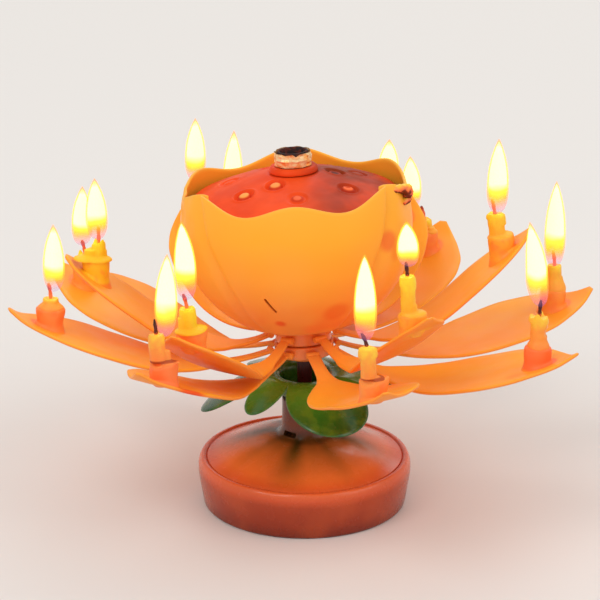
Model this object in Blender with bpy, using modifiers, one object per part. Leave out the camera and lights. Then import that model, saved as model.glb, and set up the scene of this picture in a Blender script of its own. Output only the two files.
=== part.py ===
"""Musical birthday candle: an opened lotus flower with fourteen small candles on a round music base.

Run in Blender 4.5, from the text editor or in the background. Units are metres and +Z is up.
The origin is the middle of the base on the table, and the front of the candle faces -Y.
Azimuths are in degrees, from the front (-Y) round towards +X.
"""
import math

import bmesh
import bpy
from mathutils import Euler, Vector

# Gaps and general choices
TOUCH_GAP = 0.0003
CUT_OVERRUN = 0.002
MERGE_DISTANCE = 0.00001
ROUND_STEPS = 36
TUBE_STEPS = 20
SMALL_STEPS = 12
SHARP_ANGLE = 35.0

# Music base
BASE_RADIUS = 0.0300
BASE_TAPER = 0.0017
BASE_FOOT_RADIUS = BASE_RADIUS - BASE_TAPER
BASE_WALL_HEIGHT = 0.0136
BASE_WIDEST_HEIGHT = 0.0096
BASE_WALL = 0.0016
RIM_WIDTH = 0.0026
DOME_EDGE_RADIUS = BASE_RADIUS - RIM_WIDTH
DOME_GROOVE = 0.0006
DOME_TOP = 0.0204
DOME_STATION_SHARES = (0.25, 0.5, 0.75, 0.92)
DOME_CURVE = 1.15
NECK_RADIUS = 0.0063
NECK_FLARE = 0.0006
NECK_TOP = 0.0312
NECK_BORE_RADIUS = 0.0034
NECK_SLOT = (0.0042, 0.0040, 0.0014)
NECK_SLOT_AZIMUTH = -38.0
SHELL_ROOF_FALL = 0.0018
SCREW_BOSS_RADIUS = 0.0025
SCREW_PILOT_RADIUS = 0.0011
SCREW_PILOT_DEPTH = 0.0060
SCREW_CIRCLE_RADIUS = BASE_RADIUS * 0.775
SCREW_ANGLES = (38.0, -38.0, 150.0)

# Cover under the base
COVER_THICKNESS = 0.0016
COVER_HOLE_RADIUS = 0.0012
COVER_SINK_DEPTH = 0.0011
SCREW_HEAD_RADIUS = 0.0020
SCREW_HEAD_HEIGHT = 0.0007
SCREW_SHANK_RADIUS = 0.0008
SCREW_LENGTH = 0.0062
SWITCH_PLACE = (-BASE_RADIUS * 0.367, -BASE_RADIUS * 0.317)
SWITCH_KNOB = (0.0030, 0.0022, 0.0016)
SWITCH_PLATE = (0.0050, 0.0034, 0.0008)
SWITCH_TRAVEL = 0.0022
FLOOR_OF_WORKS = COVER_THICKNESS + TOUCH_GAP

# Works inside the base
SHAFT_RADIUS = 0.0021
SHAFT_TOP = 0.0464
BUSH_WALL = 0.0007
BUSH_LENGTH = 0.0120
BUSH_FLANGE = 0.0012
GEAR_MODULE = BASE_RADIUS / 60
MAIN_TEETH = 36
REDUCTION_TEETH = 30
PINION_TEETH = 10
MESH_CLEARANCE = 0.00012
ADDENDUM_SHARE = 0.80
DEDENDUM_SHARE = 1.15
TOOTH_ROOT_SHARE = 0.54
TOOTH_TIP_SHARE = 0.20
MAIN_GEAR_WIDTH = 0.0014
MAIN_GEAR_HEIGHT = 0.0044
PINION_WIDTH = 0.0018
REDUCTION_WIDTH = 0.0012
REDUCTION_ANGLE = 150.0
MOTOR_ANGLE = 185.4
REDUCTION_AXLE_RADIUS = 0.0007
MOTOR_AXLE_RADIUS = 0.0005
MOTOR_RADIUS = BASE_RADIUS / 6
MOTOR_HEIGHT = 0.0050
BOARD_THICKNESS = 0.0010
BOARD_SIZE = (BASE_RADIUS * 0.400, BASE_RADIUS * 0.667, BOARD_THICKNESS)
BOARD_CENTRE = BASE_RADIUS * 0.567
BUZZER_RADIUS = BASE_RADIUS * 0.193
BUZZER_HEIGHT = 0.0034
CELL_RADIUS = BASE_RADIUS * 0.193
CELL_HEIGHT = 0.0054
CELL_PLACE_SHARES = ((0.133, -0.627), (0.133, 0.627), (-0.300, -0.583))
CELL_PLACES = tuple((BASE_RADIUS * x, BASE_RADIUS * y) for x, y in CELL_PLACE_SHARES)
CONTACT_THICKNESS = 0.0003
CONTACT_WIDTH = 0.0040

# Calyx of green leaves
CALYX_SEAT_RADIUS = 0.0066
CALYX_LIP_RADIUS = 0.0074
CALYX_LIP_HEIGHT = 0.0396
CALYX_REACH = 0.0270
CALYX_DROP = 0.0100
CALYX_THICKNESS = 0.0007
CALYX_COLUMNS = 36
CALYX_NOTCH_SHARE = 0.36
CALYX_CREST_SHARE = 0.8
CALYX_BEND_SHARE = 0.31
CALYX_DROOP_CURVE = 1.5
CALYX_ROW_SHARES = (0.0, 0.30, 0.55, 0.72, 0.86, 1.0)
CALYX_LEAF_HALF_ANGLE = 36.0
CALYX_LEAF_AZIMUTHS = (-92.0, -33.0, 25.0, 86.0, 146.0, -152.0)
CALYX_LEAF_REACH_SHARES = (1.08, 0.88, 1.04, 0.96, 0.98, 0.95)
CALYX_LEAF_DROOP_SHARES = (1.25, 0.50, 0.95, 0.35, 0.80, 0.60)

CALYX_SEAT = NECK_TOP + TOUCH_GAP * 2 + BUSH_WALL

# Flower head: it leans a little on its shaft
LEAN_BACK = -3.6
LEAN_LEFT = -3.3
LEAN_PIVOT_BELOW_SHAFT_TOP = 0.0024
LEAN_PIVOT_HEIGHT = SHAFT_TOP - LEAN_PIVOT_BELOW_SHAFT_TOP
HUB_BORE_RADIUS = 0.0026
HUB_STEM_RADIUS = 0.0034
HUB_STEM_LENGTH = 0.0038
HUB_STEM_BOTTOM = SHAFT_TOP - HUB_STEM_LENGTH
KNUCKLE_RADIUS = 0.0009
KNUCKLE_LENGTH = 0.0036
HUB_FLANGE_MARGIN = 0.0018
HUB_ROOF = 0.0014
LOWER_HINGE_RADIUS = 0.0095
LOWER_HINGE_HEIGHT = SHAFT_TOP + TOUCH_GAP + HUB_ROOF - HUB_FLANGE_MARGIN
TIER_SPACING = 0.0042
UPPER_HINGE_RADIUS = 0.0090
UPPER_HINGE_HEIGHT = LOWER_HINGE_HEIGHT + TIER_SPACING

# Petals
PETAL_THICKNESS = 0.0009
PETAL_COLUMNS = 4
LOWER_TIP_RADIUS = 0.0840
LOWER_WIDTH = 0.0286
LOWER_CANDLE_FROM_TIP = 0.0116
LOWER_CANDLE_RADIUS = LOWER_TIP_RADIUS - LOWER_CANDLE_FROM_TIP
TIER_STEP = 0.0176
UPPER_TIP_RADIUS = LOWER_TIP_RADIUS - TIER_STEP
UPPER_WIDTH = 0.0248
UPPER_CANDLE_FROM_TIP = 0.0086
UPPER_CANDLE_RADIUS = UPPER_TIP_RADIUS - UPPER_CANDLE_FROM_TIP
PETAL_DISH_SHARE = 0.04
PETAL_FLAT_SHARE = 0.83
# Stations from the hinge to the tip: reach share, height share of the reach, width share
LOWER_STATION_SHARES = (
    (0.000, 0.000, 0.12), (0.070, -0.020, 0.12), (0.140, -0.034, 0.14), (0.200, -0.042, 0.22),
    (0.270, -0.042, 0.42), (0.400, -0.030, 0.74), (0.540, 0.004, 1.00), (0.680, 0.050, 1.08),
    (0.790, 0.086, 0.95), (0.880, 0.118, 0.66), (0.950, 0.148, 0.35), (1.000, 0.186, 0.07),
)
UPPER_STATION_SHARES = (
    (0.000, 0.000, 0.16), (0.080, -0.034, 0.18), (0.160, -0.054, 0.24), (0.220, -0.060, 0.42),
    (0.310, -0.052, 0.64), (0.430, -0.016, 0.87), (0.550, 0.050, 1.00), (0.680, 0.140, 1.03),
    (0.800, 0.222, 0.92), (0.890, 0.284, 0.68), (0.955, 0.332, 0.38), (1.000, 0.376, 0.08),
)
# Angles are in degrees: a droop is up where positive, a twist raises the petal's left edge seen from the hub.
# The shares say how much of each candle's length is left
LOWER_AZIMUTHS = (15.0, 60.0, 105.0, 150.0, -165.0, -120.0, -75.0, -30.0)
LOWER_DROOP_ANGLES = (1.2, -5.2, -6.2, -0.4, 0.0, 2.2, 6.2, 4.4)
LOWER_TWIST_ANGLES = (5.0, 4.0, 3.0, 0.0, 1.5, -1.0, -1.5, -5.0)
LOWER_LEFT_SHARES = (0.62, 0.75, 0.65, 0.48, 0.53, 0.48, 0.44, 0.63)
UPPER_AZIMUTHS = (31.0, 91.0, 151.0, -149.0, -89.0, -29.0)
UPPER_DROOP_ANGLES = (-1.3, 4.4, 0.0, 0.0, 4.6, -2.1)
UPPER_TWIST_ANGLES = (3.0, 0.0, 1.5, -1.5, 0.0, -2.0)
UPPER_LEFT_SHARES = (0.82, 0.63, 0.55, 0.60, 0.56, 0.60)

# Candles and their sockets
SOCKET_RADIUS = 0.0037
SOCKET_HEIGHT = 0.0060
SOCKET_ROOT = 0.0014
SOCKET_FLOOR = 0.0006
CANDLE_RADIUS = 0.0022
CANDLE_LENGTH = 0.0200
CANDLE_BEAD = 0.0004
WICK_RADIUS = 0.0005
WICK_LENGTH = 0.0034

# Cup of three broad petals
CUP_RADIUS = 0.0316
CUP_FOOT_CLEARANCE = 0.0031
CUP_FOOT_HEIGHT = UPPER_HINGE_HEIGHT + CUP_FOOT_CLEARANCE
CUP_HEIGHT = 0.0414
CUP_RIM_HEIGHT = CUP_FOOT_HEIGHT + CUP_HEIGHT
CUP_WALL = 0.0009
CUP_SEAM_GAP = 0.0005
CUP_COLUMNS = 12
CUP_DIP = 0.0034
CUP_CORNER_RISE = 0.0010
# Radius share and height share of the stations from the foot to the rim
CUP_STATION_SHARES = (
    (0.171, 0.000), (0.400, 0.010), (0.500, 0.032), (0.665, 0.118), (0.800, 0.222),
    (0.905, 0.345), (0.972, 0.505), (1.000, 0.715), (0.985, 0.860), (0.962, 1.000),
)
# Height share and the azimuth of the seam beside the front petal, which narrows towards its foot
CUP_SEAM_STATIONS = ((0.0, 34.0), (0.25, 35.0), (0.50, 41.0), (0.75, 50.0), (1.0, 56.0))
CUP_SLIT = (0.0053, 0.0064, 0.0008)
CUP_SLIT_AZIMUTH = -16.0
CUP_SLIT_LEAN = 62.0
CUP_SLIT_HEIGHT_SHARE = 0.320
CUP_SLIT_RADIUS_SHARE = 0.877

# Seed head and the sparkler tube in its middle
SEED_INSIDE_CUP = 0.0032
SEED_RADIUS = CUP_RADIUS - SEED_INSIDE_CUP
SEED_EDGE_BELOW_RIM = 0.0070
SEED_RISE = 0.0088
SEED_EDGE_HEIGHT = CUP_RIM_HEIGHT - SEED_EDGE_BELOW_RIM
SEED_TOP_HEIGHT = SEED_EDGE_HEIGHT + SEED_RISE
SEED_TOP_RADIUS = 0.0078
SEED_SKIN = 0.0030
SEED_STEM_RADIUS = 0.0046
SEED_STATION_SHARES = (0.0, 0.18, 0.4, 0.65, 0.9)
SEED_CURVE = 1.25
SEED_PIT_RADIUS = 0.0027
SEED_PIT_DEPTH = 0.0008
# Reach share on the dome, number of pits and first azimuth of each ring
SEED_PIT_RINGS = ((0.505, 7, 3.0), (0.175, 3, -26.0))
TUBE_RADIUS = 0.0043
TUBE_WALL = 0.0008
TUBE_STAND = 0.0054
TUBE_TOP = SEED_TOP_HEIGHT + TUBE_STAND
TUBE_SEAT_DEPTH = 0.0100
COLLAR_RADIUS = 0.0069
COLLAR_HEIGHT = 0.0016
FOIL_THICKNESS = 0.0003
FOIL_LIP = 0.0008
FOIL_TOP = TUBE_TOP + FOIL_LIP
FOIL_TOOTH = 0.0010
FOIL_COLUMNS = 20
FOIL_ROWS = 3
FOIL_FOLD_SHARE = 0.7
FOIL_FOLD_STEP = 2.4
FOIL_RAGGED_STEP = 1.7
CHARGE_HEIGHT = 0.0110


def clear_scene():
    """Remove every object of the startup file."""
    for old in list(bpy.data.objects):
        bpy.data.objects.remove(old, do_unlink=True)


def make_collection(name):
    """Return a new collection linked to the scene."""
    collection = bpy.data.collections.new(name)
    bpy.context.scene.collection.children.link(collection)
    return collection


def make_material(name, colour, roughness, metallic=0.0):
    """Return a Principled material of one colour."""
    material = bpy.data.materials.new(name)
    material.use_nodes = True
    shader = material.node_tree.nodes["Principled BSDF"]
    shader.inputs["Base Color"].default_value = (*colour, 1.0)
    shader.inputs["Roughness"].default_value = roughness
    shader.inputs["Metallic"].default_value = metallic
    return material


def add_object(name, mesh, material, parent=None, place=(0.0, 0.0, 0.0), turn=(0.0, 0.0, 0.0)):
    """Put a mesh into the candle's collection as a named sub-part."""
    part = bpy.data.objects.new(name, mesh)
    PARTS.objects.link(part)
    if not mesh.materials:
        mesh.materials.append(material)
    part.parent = parent
    part.location = place
    part.rotation_euler = turn
    return part


def settle(part):
    """Replace a part's mesh by its evaluated one, with its caps welded, and return the part."""
    bpy.context.view_layer.update()
    seen = part.evaluated_get(bpy.context.evaluated_depsgraph_get())
    mesh = bpy.data.meshes.new_from_object(seen)
    form = bmesh.new()
    form.from_mesh(mesh)
    bmesh.ops.remove_doubles(form, verts=form.verts, dist=MERGE_DISTANCE)
    form.to_mesh(mesh)
    form.free()
    mesh.shade_smooth()
    mesh.set_sharp_from_angle(angle=math.radians(SHARP_ANGLE))
    if part.type == "MESH":
        part.modifiers.clear()
        part.data = mesh
        return part
    solid = bpy.data.objects.new(part.name + "_solid", mesh)
    for collection in part.users_collection:
        collection.objects.link(solid)
    solid.parent = part.parent
    solid.matrix_world = part.matrix_world
    name = part.name
    bpy.data.objects.remove(part, do_unlink=True)
    solid.name = name
    return solid


def turned(name, profile, material, closed=False, steps=ROUND_STEPS, **placing):
    """Turn a profile of (radius, height) points about Z; it runs down its outer side."""
    count = len(profile)
    edges = [(index, index + 1) for index in range(count - 1)]
    if closed:
        edges.append((count - 1, 0))
    mesh = bpy.data.meshes.new(name)
    mesh.from_pydata([(radius, 0.0, height) for radius, height in profile], edges, [])
    part = add_object(name, mesh, material, **placing)
    screw = part.modifiers.new("turn", "SCREW")
    screw.steps = steps
    screw.render_steps = steps
    screw.use_merge_vertices = True
    screw.merge_threshold = MERGE_DISTANCE
    return settle(part)


def flat_plate(name, outlines, bottom, thickness, material, **placing):
    """Extrude one outline, and any hole outlines after it, upwards from a height."""
    curve = bpy.data.curves.new(name, "CURVE")
    curve.dimensions = "2D"
    curve.fill_mode = "BOTH"
    curve.extrude = thickness / 2
    for outline in outlines:
        spline = curve.splines.new("POLY")
        spline.points.add(len(outline) - 1)
        for point, (x, y) in zip(spline.points, outline):
            point.co = (x, y, 0.0, 1.0)
        spline.use_cyclic_u = True
    curve.materials.append(material)
    plate = bpy.data.objects.new(name, curve)
    PARTS.objects.link(plate)
    plate.parent = placing.get("parent")
    x, y, z = placing.get("place", (0.0, 0.0, 0.0))
    plate.location = (x, y, z + bottom + thickness / 2)
    plate.rotation_euler = placing.get("turn", (0.0, 0.0, 0.0))
    return settle(plate)


def box_cutter(name, size, parent=None, place=(0.0, 0.0, 0.0), turn=(0.0, 0.0, 0.0)):
    """Return a box in the cutters' collection."""
    form = bmesh.new()
    bmesh.ops.create_cube(form, size=1.0)
    bmesh.ops.scale(form, vec=Vector(size), verts=form.verts)
    return add_cutter(name, form, parent, place, turn)


def round_cutter(name, radius, depth, parent=None, place=(0.0, 0.0, 0.0), turn=(0.0, 0.0, 0.0)):
    """Return a cylinder in the cutters' collection, its middle at the place."""
    form = bmesh.new()
    bmesh.ops.create_cone(
        form, cap_ends=True, segments=SMALL_STEPS, radius1=radius, radius2=radius, depth=depth)
    return add_cutter(name, form, parent, place, turn)


def add_cutter(name, form, parent, place, turn):
    """Turn a bmesh into a cutter object."""
    mesh = bpy.data.meshes.new(name)
    form.to_mesh(mesh)
    form.free()
    cutter = bpy.data.objects.new(name, mesh)
    CUTTERS.objects.link(cutter)
    cutter.parent = parent
    cutter.location = place
    cutter.rotation_euler = turn
    cutter.hide_render = True
    cutter.display_type = "WIRE"
    return cutter


def combine(part, other, operation):
    """Add a Boolean between a part and a cutter or guide."""
    step = part.modifiers.new(other.name, "BOOLEAN")
    step.operation = operation
    step.solver = "EXACT"
    step.object = other
    return part


def polar(radius, azimuth, height):
    """Return the point at a radius and an azimuth from the front."""
    angle = math.radians(azimuth)
    return (radius * math.sin(angle), -radius * math.cos(angle), height)


def outward_turn(azimuth):
    """Return the angle about Z that points +X outwards at an azimuth."""
    return math.radians(azimuth) - math.pi / 2


def circle(radius, count):
    """Return the points of a circle in order."""
    step = math.tau / count
    return [(radius * math.cos(i * step), radius * math.sin(i * step)) for i in range(count)]


def rectangle(width, depth):
    """Return the corners of a rectangle about the middle."""
    x, y = width / 2, depth / 2
    return [(-x, -y), (x, -y), (x, y), (-x, y)]


def gear_outline(teeth, phase=0.0):
    """Return the toothed outline of a gear; a tooth points at the phase angle."""
    pitch_radius = GEAR_MODULE * teeth / 2
    root = pitch_radius - GEAR_MODULE * DEDENDUM_SHARE
    tip = pitch_radius + GEAR_MODULE * ADDENDUM_SHARE
    pitch = math.tau / teeth
    points = []
    for tooth in range(teeth):
        middle = phase + tooth * pitch
        for radius, share in (
            (root, -TOOTH_ROOT_SHARE), (tip, -TOOTH_TIP_SHARE),
            (tip, TOOTH_TIP_SHARE), (root, TOOTH_ROOT_SHARE),
        ):
            angle = middle + pitch * share / 2
            points.append((radius * math.cos(angle), radius * math.sin(angle)))
    return points


def shaped_grid(columns, rows, point_at, thickness, offset, name):
    """Return a sheet from a grid whose points a function places, made solid."""
    form = bmesh.new()
    bmesh.ops.create_grid(form, x_segments=rows, y_segments=columns, size=1.0)
    for vert in form.verts:
        row = round((vert.co.x + 1.0) / 2 * rows)
        column = round((vert.co.y + 1.0) / 2 * columns)
        vert.co = point_at(row, column)
    mesh = bpy.data.meshes.new(name)
    form.to_mesh(mesh)
    form.free()
    sheet = bpy.data.objects.new(name, mesh)
    PARTS.objects.link(sheet)
    shell = sheet.modifiers.new("thickness", "SOLIDIFY")
    shell.thickness = thickness
    shell.offset = offset
    shell.use_even_offset = True
    return sheet


def make_housing():
    """Domed base with its neck, screw bosses and the small slot at the neck's foot."""
    roof = DOME_TOP - SHELL_ROOF_FALL
    dome_rise = DOME_TOP - BASE_WALL_HEIGHT
    dome = [
        (NECK_RADIUS + (DOME_EDGE_RADIUS - NECK_RADIUS) * share,
         BASE_WALL_HEIGHT + dome_rise * math.cos(share * math.pi / 2) ** DOME_CURVE)
        for share in DOME_STATION_SHARES
    ]
    ceiling = [(radius - BASE_WALL / 4, height - SHELL_ROOF_FALL) for radius, height in reversed(dome[:-1])]
    inner_edge = BASE_RADIUS - BASE_WALL
    neck_foot = (NECK_RADIUS + NECK_FLARE, DOME_TOP + NECK_FLARE)
    profile = [
        (NECK_BORE_RADIUS, NECK_TOP), (NECK_RADIUS, NECK_TOP), (NECK_RADIUS, DOME_TOP + NECK_FLARE * 4),
        neck_foot, *dome,
        (DOME_EDGE_RADIUS, BASE_WALL_HEIGHT - DOME_GROOVE),
        (DOME_EDGE_RADIUS + DOME_GROOVE, BASE_WALL_HEIGHT),
        (BASE_RADIUS - DOME_GROOVE * 2, BASE_WALL_HEIGHT),
        (BASE_RADIUS - DOME_GROOVE / 2, BASE_WALL_HEIGHT - DOME_GROOVE * 2),
        (BASE_RADIUS, BASE_WIDEST_HEIGHT), (BASE_FOOT_RADIUS, 0.0),
        (BASE_FOOT_RADIUS - BASE_WALL, 0.0),
        (inner_edge, BASE_WIDEST_HEIGHT),
        (DOME_EDGE_RADIUS - BASE_WALL, BASE_WALL_HEIGHT - BASE_WALL),
        *ceiling,
        (NECK_BORE_RADIUS, roof),
    ]
    housing = turned("base_housing", profile, SHELL_PLASTIC, closed=True)
    boss_top = BASE_WALL_HEIGHT - BASE_WALL / 2
    for number, angle in enumerate(SCREW_ANGLES, 1):
        x = SCREW_CIRCLE_RADIUS * math.cos(math.radians(angle))
        y = SCREW_CIRCLE_RADIUS * math.sin(math.radians(angle))
        boss_height = boss_top - FLOOR_OF_WORKS
        boss = round_cutter(f"boss_{number}", SCREW_BOSS_RADIUS, boss_height,
                            place=(x, y, FLOOR_OF_WORKS + boss_height / 2))
        combine(housing, boss, "UNION")
    for number, angle in enumerate(SCREW_ANGLES, 1):
        x = SCREW_CIRCLE_RADIUS * math.cos(math.radians(angle))
        y = SCREW_CIRCLE_RADIUS * math.sin(math.radians(angle))
        depth = SCREW_PILOT_DEPTH + CUT_OVERRUN
        pilot = round_cutter(f"pilot_{number}", SCREW_PILOT_RADIUS, depth,
                             place=(x, y, FLOOR_OF_WORKS + depth / 2 - CUT_OVERRUN))
        combine(housing, pilot, "DIFFERENCE")
    slot = box_cutter("neck_slot", NECK_SLOT,
                      place=polar(NECK_RADIUS, NECK_SLOT_AZIMUTH, DOME_TOP + NECK_SLOT[2]),
                      turn=(0.0, 0.0, math.radians(NECK_SLOT_AZIMUTH)))
    combine(housing, slot, "DIFFERENCE")
    return settle(housing)


def make_cover():
    """Round cover in the base's underside, its screws and the slide switch's slot."""
    radius = BASE_FOOT_RADIUS - BASE_WALL - TOUCH_GAP
    holes = []
    for angle in SCREW_ANGLES:
        x = SCREW_CIRCLE_RADIUS * math.cos(math.radians(angle))
        y = SCREW_CIRCLE_RADIUS * math.sin(math.radians(angle))
        holes.append([(x + px, y + py) for px, py in circle(COVER_HOLE_RADIUS, SMALL_STEPS)])
    width = SWITCH_KNOB[0] + SWITCH_TRAVEL + TOUCH_GAP * 2
    depth = SWITCH_KNOB[1] + TOUCH_GAP * 2
    middle = SWITCH_PLACE[0] - SWITCH_TRAVEL / 2
    slot = [(middle + x, SWITCH_PLACE[1] + y) for x, y in rectangle(width, depth)]
    cover = flat_plate("base_cover", [circle(radius, ROUND_STEPS), *holes, slot],
                       0.0, COVER_THICKNESS, DARK_PLASTIC)
    for number, angle in enumerate(SCREW_ANGLES, 1):
        x = SCREW_CIRCLE_RADIUS * math.cos(math.radians(angle))
        y = SCREW_CIRCLE_RADIUS * math.sin(math.radians(angle))
        sink_depth = COVER_SINK_DEPTH + CUT_OVERRUN
        sink = round_cutter(f"screw_sink_{number}", SCREW_HEAD_RADIUS + TOUCH_GAP, sink_depth,
                            place=(x, y, COVER_SINK_DEPTH - sink_depth / 2))
        combine(cover, sink, "DIFFERENCE")
        seat = COVER_SINK_DEPTH - TOUCH_GAP
        profile = [
            (0.0, seat + SCREW_LENGTH), (SCREW_SHANK_RADIUS, seat + SCREW_LENGTH),
            (SCREW_SHANK_RADIUS, seat), (SCREW_HEAD_RADIUS, seat),
            (SCREW_HEAD_RADIUS, seat - SCREW_HEAD_HEIGHT), (0.0, seat - SCREW_HEAD_HEIGHT),
        ]
        screw = turned(f"cover_screw_{number}", profile, STEEL, steps=SMALL_STEPS, place=(x, y, 0.0))
        drive = box_cutter(f"screw_slot_{number}",
                           (SCREW_HEAD_RADIUS * 3, SCREW_SHANK_RADIUS / 2, SCREW_HEAD_HEIGHT),
                           place=(x, y, seat - SCREW_HEAD_HEIGHT))
        settle(combine(screw, drive, "DIFFERENCE"))
    settle(cover)
    knob_x, knob_y, knob_z = SWITCH_KNOB
    plate_x, plate_y, plate_z = SWITCH_PLATE
    form = bmesh.new()
    bmesh.ops.create_cube(form, size=1.0)
    bmesh.ops.scale(form, vec=Vector(SWITCH_PLATE), verts=form.verts)
    mesh = bpy.data.meshes.new("switch_slider")
    form.to_mesh(mesh)
    form.free()
    plate_middle = FLOOR_OF_WORKS + plate_z / 2
    slider = add_object("switch_slider", mesh, DARK_PLASTIC, place=(*SWITCH_PLACE, plate_middle))
    knob_height = knob_z + plate_z
    knob = box_cutter("switch_knob", (knob_x, knob_y, knob_height),
                      place=(*SWITCH_PLACE, FLOOR_OF_WORKS + plate_z / 2 - knob_height / 2))
    settle(combine(slider, knob, "UNION"))


def make_works():
    """Shaft, gears, motor, board, buzzer and cells inside the base."""
    turned("flower_shaft", [
        (0.0, SHAFT_TOP), (SHAFT_RADIUS, SHAFT_TOP), (SHAFT_RADIUS, FLOOR_OF_WORKS), (0.0, FLOOR_OF_WORKS),
    ], SHAFT_PLASTIC, steps=SMALL_STEPS)
    inner = SHAFT_RADIUS + TOUCH_GAP
    outer = inner + BUSH_WALL
    top = NECK_TOP
    flange = NECK_BORE_RADIUS + BUSH_FLANGE
    shoulder = top + TOUCH_GAP
    turned("shaft_bush", [
        (inner, shoulder + BUSH_WALL), (flange, shoulder + BUSH_WALL), (flange, shoulder),
        (outer, shoulder), (outer, shoulder - BUSH_LENGTH), (inner, shoulder - BUSH_LENGTH),
    ], BRASS, closed=True, steps=SMALL_STEPS)

    bore = circle(SHAFT_RADIUS + TOUCH_GAP, SMALL_STEPS)
    flat_plate("main_gear", [gear_outline(MAIN_TEETH), bore],
               MAIN_GEAR_HEIGHT, MAIN_GEAR_WIDTH, WHITE_PLASTIC)

    reduction_distance = GEAR_MODULE * (MAIN_TEETH + PINION_TEETH) / 2 + MESH_CLEARANCE
    pinion_distance = GEAR_MODULE * (REDUCTION_TEETH + PINION_TEETH) / 2 + MESH_CLEARANCE
    towards = math.radians(REDUCTION_ANGLE)
    axle = Vector((reduction_distance * math.cos(towards), reduction_distance * math.sin(towards), 0.0))
    small_bottom = MAIN_GEAR_HEIGHT - (PINION_WIDTH - MAIN_GEAR_WIDTH) / 2
    big_bottom = small_bottom + PINION_WIDTH
    # The small wheel shows a gap to the main gear's tooth at the line between the axles
    main_phase = (towards / (math.tau / MAIN_TEETH)) % 1.0
    small_turn = towards + math.pi + (0.5 + main_phase) * math.tau / PINION_TEETH
    axle_bore = circle(REDUCTION_AXLE_RADIUS + TOUCH_GAP, SMALL_STEPS)
    wheel = flat_plate("reduction_gear", [gear_outline(REDUCTION_TEETH), axle_bore],
                       big_bottom, REDUCTION_WIDTH, WHITE_PLASTIC, place=tuple(axle))
    small = flat_plate("reduction_small_wheel", [gear_outline(PINION_TEETH, small_turn), axle_bore],
                       small_bottom, PINION_WIDTH + REDUCTION_WIDTH / 2, WHITE_PLASTIC, place=tuple(axle))
    PARTS.objects.unlink(small)
    CUTTERS.objects.link(small)
    small.hide_render = True
    small.display_type = "WIRE"
    settle(combine(wheel, small, "UNION"))
    axle_top = big_bottom + REDUCTION_WIDTH + REDUCTION_AXLE_RADIUS * 2
    turned("reduction_axle", [
        (0.0, axle_top), (REDUCTION_AXLE_RADIUS, axle_top),
        (REDUCTION_AXLE_RADIUS, FLOOR_OF_WORKS), (0.0, FLOOR_OF_WORKS),
    ], STEEL, steps=SMALL_STEPS, place=tuple(axle))

    # The motor stands where its pinion meets the big wheel
    reach = axle.length
    apart = math.radians(MOTOR_ANGLE - REDUCTION_ANGLE)
    along = reach * math.cos(apart) + math.sqrt(pinion_distance ** 2 - (reach * math.sin(apart)) ** 2)
    heading = math.radians(MOTOR_ANGLE)
    motor_at = Vector((along * math.cos(heading), along * math.sin(heading), 0.0))
    line = math.atan2(motor_at.y - axle.y, motor_at.x - axle.x)
    wheel_phase = (line / (math.tau / REDUCTION_TEETH)) % 1.0
    pinion_turn = line + math.pi + (0.5 + wheel_phase) * math.tau / PINION_TEETH
    pinion_bottom = big_bottom - (PINION_WIDTH - REDUCTION_WIDTH) / 2
    motor_bore = circle(MOTOR_AXLE_RADIUS + TOUCH_GAP, SMALL_STEPS)
    flat_plate("motor_pinion", [gear_outline(PINION_TEETH, pinion_turn), motor_bore],
               pinion_bottom, PINION_WIDTH, BRASS, place=tuple(motor_at))
    motor_bottom = pinion_bottom + PINION_WIDTH + TOUCH_GAP
    axle_end = pinion_bottom - TOUCH_GAP
    turned("drive_motor", [
        (0.0, motor_bottom + MOTOR_HEIGHT), (MOTOR_RADIUS, motor_bottom + MOTOR_HEIGHT),
        (MOTOR_RADIUS, motor_bottom), (MOTOR_AXLE_RADIUS, motor_bottom),
        (MOTOR_AXLE_RADIUS, axle_end), (0.0, axle_end),
    ], STEEL, steps=SMALL_STEPS, place=tuple(motor_at))

    board_x, board_y, board_z = BOARD_SIZE
    flat_plate("circuit_board", [rectangle(board_x, board_y)], FLOOR_OF_WORKS, board_z,
               BOARD_GREEN, place=(BOARD_CENTRE, 0.0, 0.0))
    buzzer_bottom = FLOOR_OF_WORKS + board_z + TOUCH_GAP
    turned("piezo_buzzer", [
        (0.0, buzzer_bottom + BUZZER_HEIGHT), (BUZZER_RADIUS, buzzer_bottom + BUZZER_HEIGHT),
        (BUZZER_RADIUS, buzzer_bottom), (0.0, buzzer_bottom),
    ], DARK_PLASTIC, steps=SMALL_STEPS, place=(BOARD_CENTRE, 0.0, 0.0))
    cell_bottom = FLOOR_OF_WORKS + CONTACT_THICKNESS + TOUCH_GAP
    for number, (x, y) in enumerate(CELL_PLACES, 1):
        turned(f"button_cell_{number}", [
            (0.0, cell_bottom + CELL_HEIGHT), (CELL_RADIUS, cell_bottom + CELL_HEIGHT),
            (CELL_RADIUS, cell_bottom), (0.0, cell_bottom),
        ], STEEL, steps=SMALL_STEPS, place=(x, y, 0.0))
    first, second, third = (Vector(place) for place in CELL_PLACES)
    middle = (first + third) / 2
    span = third - first
    flat_plate("battery_plate", [rectangle(span.length + CONTACT_WIDTH, CONTACT_WIDTH)],
               FLOOR_OF_WORKS, CONTACT_THICKNESS, BRASS,
               place=(middle.x, middle.y, 0.0), turn=(0.0, 0.0, math.atan2(span.y, span.x)))
    flat_plate("battery_contact", [rectangle(CONTACT_WIDTH * 2, CONTACT_WIDTH)],
               FLOOR_OF_WORKS, CONTACT_THICKNESS, BRASS, place=(second.x, second.y, 0.0))


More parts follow.
